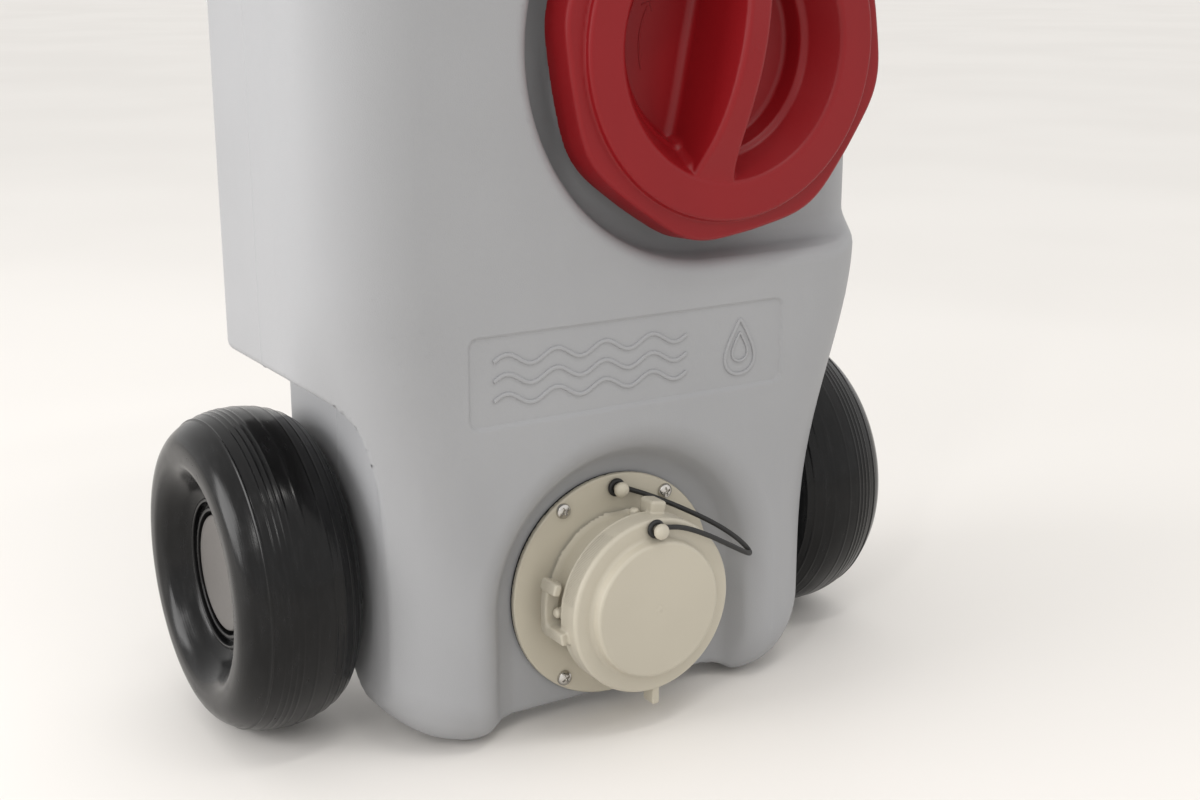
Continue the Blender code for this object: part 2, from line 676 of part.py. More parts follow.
# ---- wheels -------------------------------------------------------------------------------
def wheel_profile(side):
    """Section of a wheel: tread, rolled sidewall, stepped hub, bore and closed inner side."""
    c = WHEEL_X
    points = []
    for i in range(-4, 5):
        a = math.radians(22.5 * i)
        drop = TREAD_DROP * (1 - abs(math.cos(a)) ** 0.9)
        points.append((WHEEL_R - drop, c + WHEEL_HALF * math.sin(a)))
    hub = ((0.0665, 0.0360), (0.0570, 0.0275), (0.0520, 0.0160), (0.0460, 0.0105), (0.0455, 0.0150),
           (0.0420, 0.0155), (0.0415, 0.0130), (0.0372, 0.0130), (0.0370, 0.0090), (0.0130, 0.0090),
           (0.0130, 0.0050), (AXLE_R + GAP, 0.0050), (AXLE_R + GAP, -0.0400), (0.0150, -0.0400))
    inside = ((0.0165, -0.0350), (0.0620, -0.0350), (0.0680, -0.0378))
    points += [(r, c + x) for r, x in hub + inside]
    return [(r, side * x) for r, x in points]


def make_wheel(name, hand):
    origin = at(0, WHEEL_DEPTH, WHEEL_R)
    return turned(name, wheel_profile(hand), origin, (1, 0, 0), WHEEL_BLACK, 32)


def make_hub_cap(name, hand):
    """Plain disc pressed into the wheel's hub, hollow behind for the axle's end."""
    c = WHEEL_X
    profile = [(0, c + 0.0205), (0.0340, c + 0.0205), (0.0358, c + 0.0190), (0.0362, c + 0.0095),
               (0.0335, c + 0.0095), (0.0330, c + 0.0175), (0, c + 0.0175)]
    profile = [(r, hand * x) for r, x in profile]
    return turned(name, profile, at(0, WHEEL_DEPTH, WHEEL_R), (1, 0, 0), HUB_GREY, 28)


def make_axle():
    """Plain steel rod through the tank, with its wheels' clips near both ends."""
    origin = at(0, WHEEL_DEPTH, WHEEL_R)
    end = WHEEL_X + 0.0135
    profile = [(0, -end), (AXLE_R - 0.001, -end), (AXLE_R, -end + 0.001), (AXLE_R, end - 0.001),
               (AXLE_R - 0.001, end), (0, end)]
    return turned("axle", profile, origin, (1, 0, 0), STEEL, 20)


def collar(name, hand, inner, outer, start, stop, mat, segments=20):
    """Round sleeve or washer on the axle, between two distances from the middle."""
    profile = [(inner, hand * start), (outer, hand * start), (outer, hand * stop), (inner, hand * stop)]
    return turned(name, profile, at(0, WHEEL_DEPTH, WHEEL_R), (1, 0, 0), mat, segments)


def make_bush(name, hand):
    """Flanged bush at the mouth of the axle's tunnel."""
    bore = AXLE_R + GAP
    sleeve = AXLE_R + 0.0022
    wall = POCKET_WALL
    profile = [(bore, wall - 0.020), (sleeve, wall - 0.020), (sleeve, wall + GAP), (0.0120, wall + GAP),
               (0.0120, wall + 0.0018), (bore, wall + 0.0018)]
    profile = [(r, hand * x) for r, x in profile]
    return turned(name, profile, at(0, WHEEL_DEPTH, WHEEL_R), (1, 0, 0), GRIP_BLACK, 20)


# ---- tow handle ---------------------------------------------------------------------------
def make_tow_tube(name, side):
    """Aluminium leg, open at both ends."""
    profile = [(TUBE_R, TUBE_LOW), (TUBE_R, TUBE_HIGH), (TUBE_R - 0.0014, TUBE_HIGH),
               (TUBE_R - 0.0014, TUBE_LOW)]
    return turned(name, profile, at(side * TUBE_X, TUBE_DEPTH, 0), (0, 0, 1), ALUMINIUM, 20)


def make_tube_plug(name, side):
    """Stop at a leg's foot: a spigot inside the tube and a collar wider than the clamps' bore."""
    spigot = TUBE_R - 0.0014 - GAP
    profile = [(0, TUBE_LOW - 0.009), (0.0095, TUBE_LOW - 0.009), (0.0105, TUBE_LOW - 0.007),
               (0.0105, TUBE_LOW - GAP), (spigot, TUBE_LOW - GAP), (spigot, TUBE_LOW + 0.016),
               (0, TUBE_LOW + 0.016)]
    return turned(name, profile, at(side * TUBE_X, TUBE_DEPTH, 0), (0, 0, 1), GRIP_BLACK, 20)


def make_tow_grip():
    """Moulded cross grip with a swept underside and a socket over each leg."""
    rings = []
    half = TUBE_X + 0.018
    count = 12
    for i in range(count + 1):
        s = -1 + 2 * i / count
        x = half * s
        end = math.sqrt(max(1 - abs(s) ** 7, 0.03))
        tall = 0.0130 * end
        deep = 0.0135 * end
        middle = TUBE_HIGH + 0.0125 - 0.004 * (1 - s * s)
        ring = []
        for a in range(0, 360, 36):
            turn = math.radians(a)
            ring.append(at(x, TUBE_DEPTH + deep * math.cos(turn), middle + tall * math.sin(turn)))
        rings.append(ring)
    origin = at(0, TUBE_DEPTH, TUBE_HIGH)
    grip = loft("tow_grip", rings, GRIP_BLACK, origin)
    for side in (-1, 1):
        top = at(side * TUBE_X, TUBE_DEPTH, TUBE_HIGH - 0.024)
        socket = [(0, 0.0), (0.0115, 0.0), (0.0130, 0.020), (0.0130, 0.034), (0, 0.034)]
        boolean(grip, turned("socket_tool", socket, top, (0, 0, 1), None, 20, None, 0.21), "UNION")
    for side in (-1, 1):
        low = at(side * TUBE_X, TUBE_DEPTH, TUBE_HIGH - 0.04)
        high = at(side * TUBE_X, TUBE_DEPTH, TUBE_HIGH + GAP)
        boolean(grip, rod("socket_bore_tool", TUBE_R + GAP, low, high, None, 20, 0.5))
    return grip


def make_clamp(name, side, z):
    """Strap over a leg, screwed to the rear face; the leg slides in its half-round groove."""
    face = DEPTH + GAP
    strap = DEPTH + STRAP_T
    x = side * TUBE_X
    crown = TUBE_R + GAP + STRAP_T
    outline = [(x - CLAMP_HALF[0], face), (x - CLAMP_HALF[0], strap), (x - crown - 0.002, strap)]
    outline += arc((x, TUBE_DEPTH), crown, 150, 30, 10)
    outline += [(x + crown + 0.002, strap), (x + CLAMP_HALF[0], strap), (x + CLAMP_HALF[0], face)]
    clamp = prism_z(name, outline, z - CLAMP_HALF[1], z + CLAMP_HALF[1], GRIP_BLACK)
    low = at(x, TUBE_DEPTH, z - 0.03)
    high = at(x, TUBE_DEPTH, z + 0.03)
    boolean(clamp, rod("clamp_bore_tool", TUBE_R + GAP, low, high, None, 24))
    for step in (-1, 1):
        place = x + step * CLAMP_SCREW
        boolean(clamp, rod("clamp_hole_tool", SCREW_HOLE_R, at(place, DEPTH - 0.02, z),
                           at(place, DEPTH + 0.02, z), None, 8))
    return clamp


# ---- vent ---------------------------------------------------------------------------------
def knurl(angle, radius):
    return radius + 0.0006 * math.cos(10 * angle) if radius > 0.0165 else radius


def make_vent():
    base = at(VENT_X, VENT_DEPTH, TANK_TOP + 0.010)
    seal = [(0.0088, GAP), (0.0128, GAP), (0.0128, 0.0018), (0.0088, 0.0018)]
    turned("vent_seal", seal, base, (0, 0, 1), RUBBER, 20)
    cap = [(0, 0.0055), (0.0150, 0.0055), (0.0170, 0.0040), (0.0172, -0.0085), (0.0140, -0.0085),
           (0.0140, 0.0021), (0, 0.0021)]
    turned("vent_cap", cap, base, (0, 0, 1), CAP_RED, 40, knurl)


# ---- the whole object ---------------------------------------------------------------------
def joint_empty(name, place, pieces):
    """Empty on a joint's axis, which its pieces hang from."""
    empty = bpy.data.objects.new(name, None)
    empty.location = place
    empty.empty_display_size = 0.03
    bpy.context.scene.collection.objects.link(empty)
    bpy.context.view_layer.update()
    for piece_name in pieces:
        piece = bpy.data.objects[piece_name]
        piece.parent = empty
        piece.matrix_parent_inverse = empty.matrix_world.inverted()


def make_all():
    make_tank()
    make_filler_cap()
    seal_face = CAP_FACE + 0.0095 + GAP
    seal = [(0.0855, seal_face), (0.0975, seal_face), (0.0975, NECK_END - GAP), (0.0855, NECK_END - GAP)]
    turned("filler_seal", seal, at(CAP_X, 0, CAP_Z), (0, 1, 0), RUBBER, 32)
    make_outlet_flange()
    make_gasket()
    for i, place in enumerate(outlet_screw_places()):
        make_screw(f"outlet_screw_{i + 1}", FLANGE_FACE, place, -1)
    make_outlet_cap()
    make_outlet_cap_seal()
    make_tether()
    make_tether_ring("tether_ring_flange", at(0, FLANGE_FACE - PEG_SHAFT / 2, OUTLET_Z + PEG_REACH))
    make_tether_ring("tether_ring_cap", at(0, CUP_FACE - PEG_SHAFT / 2, OUTLET_Z + CUP_PEG))
    make_axle()
    for side, hand in (("left", -1), ("right", 1)):
        make_wheel(f"wheel_{side}", hand)
        make_hub_cap(f"hub_cap_{side}", hand)
        make_bush(f"axle_bush_{side}", hand)
        collar(f"axle_washer_{side}", hand, AXLE_R + GAP, 0.0125, WHEEL_X - 0.0418, WHEEL_X - 0.0403,
               STEEL)
        collar(f"axle_clip_{side}", hand, AXLE_R + GAP, 0.0115, WHEEL_X + 0.0054, WHEEL_X + 0.0070, STEEL)
        make_tow_tube(f"tow_tube_{side}", hand)
        make_tube_plug(f"tube_plug_{side}", hand)
        for level, z in zip(("lower", "upper"), CLAMP_LEVELS):
            make_clamp(f"clamp_{level}_{side}", hand, z)
    for i, place in enumerate(clamp_screw_places()):
        make_screw(f"clamp_screw_{i + 1}", DEPTH + STRAP_T, place, 1)
    make_tow_grip()
    make_vent()
    joint_empty("filler_cap_axis", at(CAP_X, 0, CAP_Z), ["filler_cap", "filler_seal"])
    joint_empty("outlet_cap_axis", at(0, 0, OUTLET_Z), ["outlet_cap", "outlet_cap_seal"])
    joint_empty("axle_axis", at(0, WHEEL_DEPTH, WHEEL_R),
                ["wheel_left", "hub_cap_left", "wheel_right", "hub_cap_right"])
    joint_empty("tow_handle_slide", at(0, TUBE_DEPTH, TUBE_LOW),
                ["tow_tube_left", "tow_tube_right", "tube_plug_left", "tube_plug_right", "tow_grip"])
    joint_empty("vent_axis", at(VENT_X, VENT_DEPTH, TANK_TOP), ["vent_cap", "vent_seal"])


for old in list(bpy.data.objects):
    bpy.data.objects.remove(old, do_unlink=True)
make_all()
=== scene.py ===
"""Looks of the portable waste tote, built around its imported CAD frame.

Metres, +Z up. The tank's flat front faces -Y and "depth" is counted backwards from it. Turned
and swept pieces are grids of two parameters. Moulded pieces whose walls run into each other
through soft fillets are drawn as a signed field (below zero inside), and a net of cells is
pulled onto the field's zero level.
"""
import math

import bmesh
import bpy
import numpy as np
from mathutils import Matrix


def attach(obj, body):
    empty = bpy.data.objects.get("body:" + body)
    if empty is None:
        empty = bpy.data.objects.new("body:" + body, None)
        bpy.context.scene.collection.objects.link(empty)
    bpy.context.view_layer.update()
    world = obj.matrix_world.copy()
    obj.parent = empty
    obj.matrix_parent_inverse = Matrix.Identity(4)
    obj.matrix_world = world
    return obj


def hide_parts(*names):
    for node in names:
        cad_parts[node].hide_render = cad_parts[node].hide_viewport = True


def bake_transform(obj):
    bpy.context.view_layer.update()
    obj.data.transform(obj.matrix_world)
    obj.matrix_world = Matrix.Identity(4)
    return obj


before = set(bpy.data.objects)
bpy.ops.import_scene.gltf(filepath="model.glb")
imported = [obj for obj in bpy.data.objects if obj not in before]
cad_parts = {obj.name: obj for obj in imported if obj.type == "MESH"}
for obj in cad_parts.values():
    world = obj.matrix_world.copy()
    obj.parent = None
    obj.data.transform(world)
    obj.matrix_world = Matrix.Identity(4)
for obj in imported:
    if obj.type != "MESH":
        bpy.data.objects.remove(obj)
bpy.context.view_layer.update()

# ---- dimensions, as in the CAD --------------------------------------------------------------
FRONT = -0.09525
DEPTH = 0.166
HALF_WIDTH = 0.198
WAIST_HALF = 0.160
WAIST_LOW = 0.070
WAIST_HIGH = 0.285
BELLY = 0.009
HEEL = 0.0055
HEEL_SLOPE = 0.60
TANK_TOP = 0.815
PARTING = 0.089
FOOT_INNER = 0.084
FOOT_OUTER = 0.106
FOOT_REAR = 0.056
WHEEL_R = 0.100
WHEEL_X = 0.197
WHEEL_HALF = 0.038
TREAD_DROP = 0.024
WHEEL_DEPTH = 0.127
POCKET_WALL = 0.153
POCKET_ROOF = 0.234
POCKET_FRONT = 0.026
CAP_X = 0.0573
CAP_Z = 0.412
CAP_FACE = -0.019
CAP_TILT = math.radians(11)
WELL_FLOOR = 0.0145
RECESS_R = 0.1275
RECESS_DEPTH = 0.030
NECK_OUT = 0.099
NECK_IN = 0.084
NECK_END = -0.0059
OUTLET_Z = 0.083
BAY_DEPTH = 0.0273
BAY_R = 0.098
FLANGE_R = 0.072
FLANGE_FACE = 0.022
SPOUT_OUT = 0.047
SPOUT_IN = 0.040
SPOUT_END = -0.0148
SCREW_X = 0.037
SCREW_Z = 0.0548
PEG_REACH = 0.064
PEG_SHAFT = 0.0042
CUP_R = 0.0555
CUP_FACE = -0.022
CUP_REAR = -0.0045
DISC_R = 0.0425
DISC_FACE = -0.029
CUP_PEG = 0.0503
LABEL_Z = 0.2308
LABEL_HALF = (0.1108, 0.0275)
TUBE_X = 0.105
TUBE_R = 0.008
TUBE_DEPTH = 0.164
TUBE_LOW = 0.375
TUBE_HIGH = 0.857
CHANNEL_LOW = 0.3655
CLAMP_LEVELS = (0.690, 0.770)
CLAMP_SCREW = 0.0185
STRAP_T = 0.0035
VENT_X = -0.125
VENT_DEPTH = 0.083
FRONT_CORNER = 0.062
REAR_CORNER = 0.026
TETHER_R = 0.0016
PANEL_SUNK = 0.0014
BEAD_HIGH = 0.0009
HUB_BORE = 0.0063
CELL = 0.0031


# ---- shader writing -------------------------------------------------------------------------
class Wire:
    """A socket's value in a finish; arithmetic on it adds Math nodes."""

    def __init__(self, finish, link):
        self.finish = finish
        self.link = link

    def math(self, kind, *values, clamp=False):
        settings = {"operation": kind, "use_clamp": clamp}
        return self.finish.node("ShaderNodeMath", settings, dict(enumerate(values)))

    def __add__(self, other):
        return self.math("ADD", self, other)

    __radd__ = __add__

    def __sub__(self, other):
        return self.math("SUBTRACT", self, other)

    def __rsub__(self, other):
        return self.math("SUBTRACT", other, self)

    def __mul__(self, other):
        return self.math("MULTIPLY", self, other)

    __rmul__ = __mul__

    def __truediv__(self, other):
        return self.math("DIVIDE", self, other)

    def __pow__(self, other):
        return self.math("POWER", self, other)

    def wave(self, rate):
        return self.math("SINE", self * rate)

    def held(self):
        return self.math("ADD", self, 0.0, clamp=True)

    def step(self, low, high):
        """0 below low, 1 above high, smooth between them."""
        settings = {"interpolation_type": "SMOOTHSTEP"}
        sockets = {0: self, 1: low, 2: high, 3: 0.0, 4: 1.0}
        return self.finish.node("ShaderNodeMapRange", settings, sockets)


class Finish:
    """One material: a Principled shader and what feeds it."""

    def __init__(self, name, **constants):
        self.material = bpy.data.materials.new(name)
        self.material.use_nodes = True
        self.tree = self.material.node_tree
        self.shader = self.tree.nodes["Principled BSDF"]
        self.place = self.node("ShaderNodeTexCoord", {}, {}, "Object")
        for socket, value in constants.items():
            self.shader.inputs[socket.replace("_", " ")].default_value = value

    def node(self, kind, settings, sockets, output=0):
        node = self.tree.nodes.new(kind)
        for name, value in settings.items():
            setattr(node, name, value)
        for socket, value in sockets.items():
            if isinstance(value, Wire):
                self.tree.links.new(value.link, node.inputs[socket])
            else:
                node.inputs[socket].default_value = value
        return Wire(self, node.outputs[output])

    def axes(self):
        split = self.node("ShaderNodeSeparateXYZ", {}, {0: self.place})
        outputs = split.link.node.outputs
        return [Wire(self, outputs[i]) for i in range(3)]

    def noise(self, scale, detail=3.0, roughness=0.5, stretch=(1, 1, 1)):
        vector = self.node("ShaderNodeMapping", {}, {"Vector": self.place, "Scale": stretch})
        sockets = {"Vector": vector, "Scale": scale, "Detail": detail, "Roughness": roughness}
        return self.node("ShaderNodeTexNoise", {}, sockets)

    def mix(self, share, first, second):
        sockets = {0: share, 6: first, 7: second}
        return self.node("ShaderNodeMix", {"data_type": "RGBA"}, sockets, 2)

    def feed(self, socket, value):
        self.tree.links.new(value.link, self.shader.inputs[socket])

    def relief(self, *layers):
        """Bumps on bumps: (height, strength, distance) from the coarsest to the finest."""
        normal = None
        for height, strength, distance in layers:
            sockets = {"Height": height, "Strength": strength, "Distance": distance}
            if normal is not None:
                sockets["Normal"] = normal
            normal = self.node("ShaderNodeBump", {}, sockets)
        self.feed("Normal", normal)


def shade(colour, scale):
    return (*(min(c * scale, 1.0) for c in colour), 1.0)


def moulded(name, colour, roughness, grain=2600.0, depth=0.00005, spread=0.05, **constants):
    """Moulded plastic: fine mould grain, soft cloudy tone, faint flow streaks and rubbed spots."""
    finish = Finish(name, Roughness=roughness, **constants)
    cloud = finish.noise(9.0, 2.0)
    streak = finish.noise(60.0, 2.0, 0.5, (1.0, 1.0, 0.16))
    tone = finish.mix(cloud.step(0.3, 0.7), shade(colour, 1 - spread), shade(colour, 1 + spread))
    tone = finish.mix(streak.step(0.55, 0.8) * 0.25, tone, shade(colour, 1 + 2 * spread))
    finish.feed("Base Color", tone)
    finish.feed("Roughness", (cloud - 0.5) * 0.10 + (streak - 0.5) * 0.10 + roughness)
    fine = finish.noise(grain, 2.0, 0.6)
    finish.relief((cloud, 0.10, 0.004), (fine, 0.35, depth * 8))
    return finish.material


TANK_GREY = moulded("tank_plastic", (0.335, 0.339, 0.350), 0.50, 1500.0, 0.00004, 0.025,
                    Specular_IOR_Level=0.3)
CAP_RED = moulded("cap_plastic", (0.225, 0.005, 0.008), 0.40, 1900.0, 0.00003, 0.05,
                  Specular_IOR_Level=0.3)
BEIGE = moulded("fitting_plastic", (0.53, 0.490, 0.398), 0.42, 2100.0, 0.00003, 0.03,
                Specular_IOR_Level=0.4)
GRIP_BLACK = moulded("grip_plastic", (0.022, 0.022, 0.024), 0.52, 1500.0, 0.00008, 0.12)
HUB_GREY = moulded("hub_plastic", (0.097, 0.090, 0.085), 0.36, 2200.0, 0.00003, 0.05)
RUBBER = moulded("rubber", (0.013, 0.013, 0.013), 0.55, 2400.0, 0.00004, 0.15)


def wheel_finish():
    """Glossy black moulding: rings from the mould, hairline scuffs and a little dust."""
    finish = Finish("wheel_plastic", Specular_IOR_Level=0.24)
    x, y, z = finish.axes()
    radius = ((y - (FRONT + WHEEL_DEPTH)) ** 2.0 + (z - WHEEL_R) ** 2.0) ** 0.5
    rings = x.wave(5200.0) + x.wave(9100.0) * 0.6 + radius.wave(3100.0) * 0.8
    dust = finish.noise(420.0, 4.0, 0.65)
    scuff = finish.noise(55.0, 4.0, 0.6, (5.0, 1.0, 1.0))
    specks = dust.step(0.68, 0.80)
    tone = finish.mix(scuff.step(0.35, 0.75), (0.004, 0.004, 0.0042, 1), (0.008, 0.008, 0.0084, 1))
    finish.feed("Base Color", finish.mix(specks * 0.35, tone, (0.07, 0.067, 0.06, 1)))
    finish.feed("Roughness", scuff.step(0.4, 0.8) * 0.12 + specks * 0.25 + 0.19)
    finish.relief((rings, 0.08, 0.00005),)
    return finish.material


def metal_finish(name, colour, roughness, stretch, rate):
    """Drawn or turned metal: fine lines along the stretch and dull spots."""
    finish = Finish(name, Metallic=1.0)
    lines = finish.noise(rate, 3.0, 0.6, stretch)
    spots = finish.noise(90.0, 3.0, 0.6)
    tone = finish.mix(spots.step(0.35, 0.75), shade(colour, 0.88), shade(colour, 1.05))
    finish.feed("Base Color", tone)
    finish.feed("Roughness", (lines - 0.5) * 0.16 + spots.step(0.5, 0.8) * 0.10 + roughness)
    finish.relief((lines, 0.20, 0.0001))
    return finish.material


WHEEL_BLACK = wheel_finish()
STEEL = metal_finish("steel", (0.62, 0.60, 0.57), 0.24, (1, 1, 1), 900.0)
ALUMINIUM = metal_finish("aluminium", (0.66, 0.67, 0.68), 0.32, (1, 1, 0.02), 1500.0)


# ---- surfaces -------------------------------------------------------------------------------
def outward(verts, faces):
    """The faces turned so that the closed shell's volume is above zero."""
    a, b, c, d = (verts[faces[:, i]] for i in range(4))
    volume = np.einsum("ij,ij->", a, np.cross(b, c)) + np.einsum("ij,ij->", a, np.cross(c, d))
    return faces if volume > 0 else faces[:, ::-1]


def solid(name, shells, finish, body, slot, *nodes, normals=None):
    """One piece from one or more closed shells of quads, riding on a body in place of CAD nodes."""
    verts = np.concatenate([v for v, _ in shells])
    starts = np.cumsum([0] + [len(v) for v, _ in shells[:-1]])
    faces = np.concatenate([outward(v, f) + s for (v, f), s in zip(shells, starts)])
    mesh = bpy.data.meshes.new(name)
    mesh.from_pydata(verts.tolist(), [], faces.tolist())
    if normals is None:
        shape = bmesh.new()
        shape.from_mesh(mesh)
        bmesh.ops.remove_doubles(shape, verts=shape.verts, dist=1e-7)
        shape.to_mesh(mesh)
        shape.free()
    mesh.shade_smooth()
    if normals is None:
        mesh.set_sharp_from_angle(angle=math.radians(38))
    else:
        mesh.normals_split_custom_set_from_vertices(normals.tolist())
    mesh.materials.append(finish)
    piece = bpy.data.objects.new(name, mesh)
    bpy.context.scene.collection.objects.link(piece)
    if body:
        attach(piece, body)
    if nodes:
        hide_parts(*nodes)
    return piece


def grid(points, wrap_rows=False, wrap_columns=True):
    """Quads over a (rows, columns, 3) array of points."""
    rows, columns = points.shape[:2]
    index = np.arange(rows * columns).reshape(rows, columns)
    if wrap_rows:
        index = np.concatenate([index, index[:1]])
    if wrap_columns:
        index = np.concatenate([index, index[:, :1]], 1)
    corners = [index[:-1, :-1], index[:-1, 1:], index[1:, 1:], index[1:, :-1]]
    return points.reshape(-1, 3), np.stack([c.ravel() for c in corners], 1)


def rounded(corners, cut, steps=6, closed=False):
    """An outline whose corners are replaced by curves: each leaves its corner's two edges at the
    cut distance and is the quadratic between those points and the corner."""
    p = np.asarray(corners, float)
    back = np.roll(p, 1, 0) - p
    on = np.roll(p, -1, 0) - p
    long_back = np.linalg.norm(back, axis=1)
    long_on = np.linalg.norm(on, axis=1)
    reach = np.minimum(np.broadcast_to(cut, len(p)), 0.45 * np.minimum(long_back, long_on))
    start = p + back * (reach / long_back)[:, None]
    stop = p + on * (reach / long_on)[:, None]
    t = np.linspace(0, 1, steps)[None, :, None]
    curve = (1 - t) ** 2 * start[:, None] + 2 * t * (1 - t) * p[:, None] + t * t * stop[:, None]
    curve = curve.reshape(-1, 2)
    if closed:
        return curve
    return np.concatenate([p[:1], curve[steps:-steps], p[-1:]])


def turned(profile, centre, axis, segments=128, ripple=None, closed=False):
    """Profile of (radius, height) spun about an axis: each point is the centre, plus the height
    along the axis, plus the radius along the direction that turns with the column."""
    profile = np.asarray(profile, float)
    axis = np.asarray(axis, float)
    u = np.array((0.0, 1.0, 0.0)) if abs(axis[0]) > 0.9 else np.array((1.0, 0.0, 0.0))
    v = np.cross(axis, u)
    turn = 2 * np.pi * np.arange(segments) / segments
    radius = np.repeat(profile[:, :1], segments, 1)
    if ripple is not None:
        radius = ripple(radius, turn[None, :], profile[:, 1:])
    way = np.cos(turn)[:, None] * u + np.sin(turn)[:, None] * v
    points = np.asarray(centre, float) + profile[:, None, 1:] * axis + radius[..., None] * way[None]
    return grid(points, closed)


def swept(path, radius, sides=16):
    """A round section carried along a path, closed at both ends: each ring is the path's point
    plus the radius along two directions square to the path's own direction."""
    path = np.asarray(path, float)
    way = np.gradient(path, axis=0)
    way /= np.linalg.norm(way, axis=1)[:, None]
    across = np.cross(way, (0.4, 0.0, 0.9))
    across /= np.linalg.norm(across, axis=1)[:, None]
    up = np.cross(way, across)
    turn = 2 * np.pi * np.arange(sides) / sides
    ring = np.cos(turn)[None, :, None] * across[:, None] + np.sin(turn)[None, :, None] * up[:, None]
    radii = np.broadcast_to(radius, len(path))[:, None, None]
    points = path[:, None] + radii * ring
    ends = [np.repeat(path[i][None, None], sides, 1) for i in (0, -1)]
    return grid(np.concatenate([ends[0], points, ends[1]]))


# ---- fields ---------------------------------------------------------------------------------
def meet(a, b, r=0.0):
    """What is inside both, the edge between them rounded to radius r."""
    if np.ndim(r) == 0 and r == 0:
        return np.maximum(a, b)
    return np.minimum(np.maximum(a, b), -r) + np.hypot(np.maximum(a + r, 0), np.maximum(b + r, 0))


def join(a, b, r=0.0):
    """What is inside either, the corner between them filled to radius r."""
    return -meet(-a, -b, r)


def cut(a, b, r=0.0):
    """What is inside a and not inside b, the new edge rounded to radius r."""
    return meet(a, -b, r)


def smooth(t):
    """0 below 0, 1 above 1, and 3 t squared less 2 t cubed between them."""
    t = np.clip(t, 0, 1)
    return t * t * (3 - 2 * t)


def lines(low, high, step, bands=()):
    """Grid lines from low to high; inside a band (from, to, step) they follow its own step."""
    places = [low]
    while places[-1] < high:
        here = places[-1]
        near = [s for a, b, s in bands if a - 0.5 * step <= here <= b]
        places.append(here + min([step, *near]))
    return np.array(places)


def slope(field, p, reach=2e-5):
    """Value and gradient of the field at points, by differences either side."""
    value = field(*p.T)
    parts = []
    for axis in range(3):
        shift = np.zeros(3)
        shift[axis] = reach
        parts.append((field(*(p + shift).T) - field(*(p - shift).T)) / (2 * reach))
    return value, np.stack(parts, 1)


def net(field, spans):
    """Closed skin on a field's zero level: one vertex in each cell that the level passes through,
    pulled onto it along the gradient, and one quad across each grid edge that it cuts."""
    value = field(spans[0][:, None, None], spans[1][None, :, None], spans[2][None, None, :])
    inside = value < 0
    size = [len(s) - 1 for s in spans]
    some = np.zeros(size, bool)
    every = np.ones(size, bool)
    for i in (0, 1):
        for j in (0, 1):
            for k in (0, 1):
                block = inside[i:i + size[0], j:j + size[1], k:k + size[2]]
                some |= block
                every &= block
    cells = np.argwhere(some & ~every)
    index = np.full(size, -1)
    index[tuple(cells.T)] = np.arange(len(cells))
    low = np.stack([spans[a][cells[:, a]] for a in range(3)], 1)
    high = np.stack([spans[a][cells[:, a] + 1] for a in range(3)], 1)
    p = (low + high) / 2
    for _ in range(5):
        f, g = slope(field, p)
        p = p - g * (f / np.maximum((g * g).sum(1), 0.05))[:, None]
        p = np.clip(p, low, high)
    quads = []
    for axis in range(3):
        u = (axis + 1) % 3
        v = (axis + 2) % 3
        near = [slice(1, -1)] * 3
        far = [slice(1, -1)] * 3
        near[axis] = slice(0, -1)
        far[axis] = slice(1, None)
        first = inside[tuple(near)]
        second = inside[tuple(far)]
        edge = np.argwhere(first != second)
        leaving = first[tuple(edge.T)]
        edge[:, u] += 1
        edge[:, v] += 1
        corners = []
        for back_u, back_v in ((1, 1), (0, 1), (0, 0), (1, 0)):
            cell = edge.copy()
            cell[:, u] -= back_u
            cell[:, v] -= back_v
            corners.append(index[tuple(cell.T)])
        quad = np.stack(corners, 1)
        quads.append(np.where(leaving[:, None], quad, quad[:, ::-1]))
    return p, np.concatenate(quads)


def normals_of(field, p):
    g = slope(field, p, 6e-5)[1]
    return g / np.maximum(np.linalg.norm(g, axis=1), 1e-9)[:, None]


def cast(name, field, spans, finish, body, slot, *nodes):
    """A moulded piece from its field; spans and field count y as depth behind the tank's front."""
    p, quads = net(field, spans)
    n = normals_of(field, p)
    return solid(name, [(p + (0, FRONT, 0), quads)], finish, body, slot, *nodes, normals=n)


# ---- camera and tether ----------------------------------------------------------------------
def make_camera():
    lens = bpy.data.cameras.new("camera")
    lens.lens = 50
    lens.sensor_width = 36
    eye = bpy.data.objects.new("camera", lens)
    eye.location = (-0.5236, -0.89645, 0.4692)
    eye.rotation_euler = (math.radians(90 - 15.31), 0, math.radians(-31.93))
    bpy.context.scene.collection.objects.link(eye)
    bpy.context.scene.camera = eye


TETHER_ROUTE = (
    (0.0065, 0.0194, 0.1455), (0.0180, 0.0165, 0.1408), (0.0300, 0.0130, 0.1352),
    (0.0420, 0.0080, 0.1290), (0.0540, 0.0020, 0.1222), (0.0640, -0.0035, 0.1155),
    (0.0715, -0.0090, 0.1090), (0.0752, -0.0140, 0.1040), (0.0738, -0.0195, 0.1022),
    (0.0680, -0.0235, 0.1048), (0.0590, -0.0258, 0.1100), (0.0480, -0.0268, 0.1165),
    (0.0370, -0.0268, 0.1228), (0.0260, -0.0262, 0.1282), (0.0160, -0.0256, 0.1318),
    (0.0066, -0.0244, 0.1332),
)


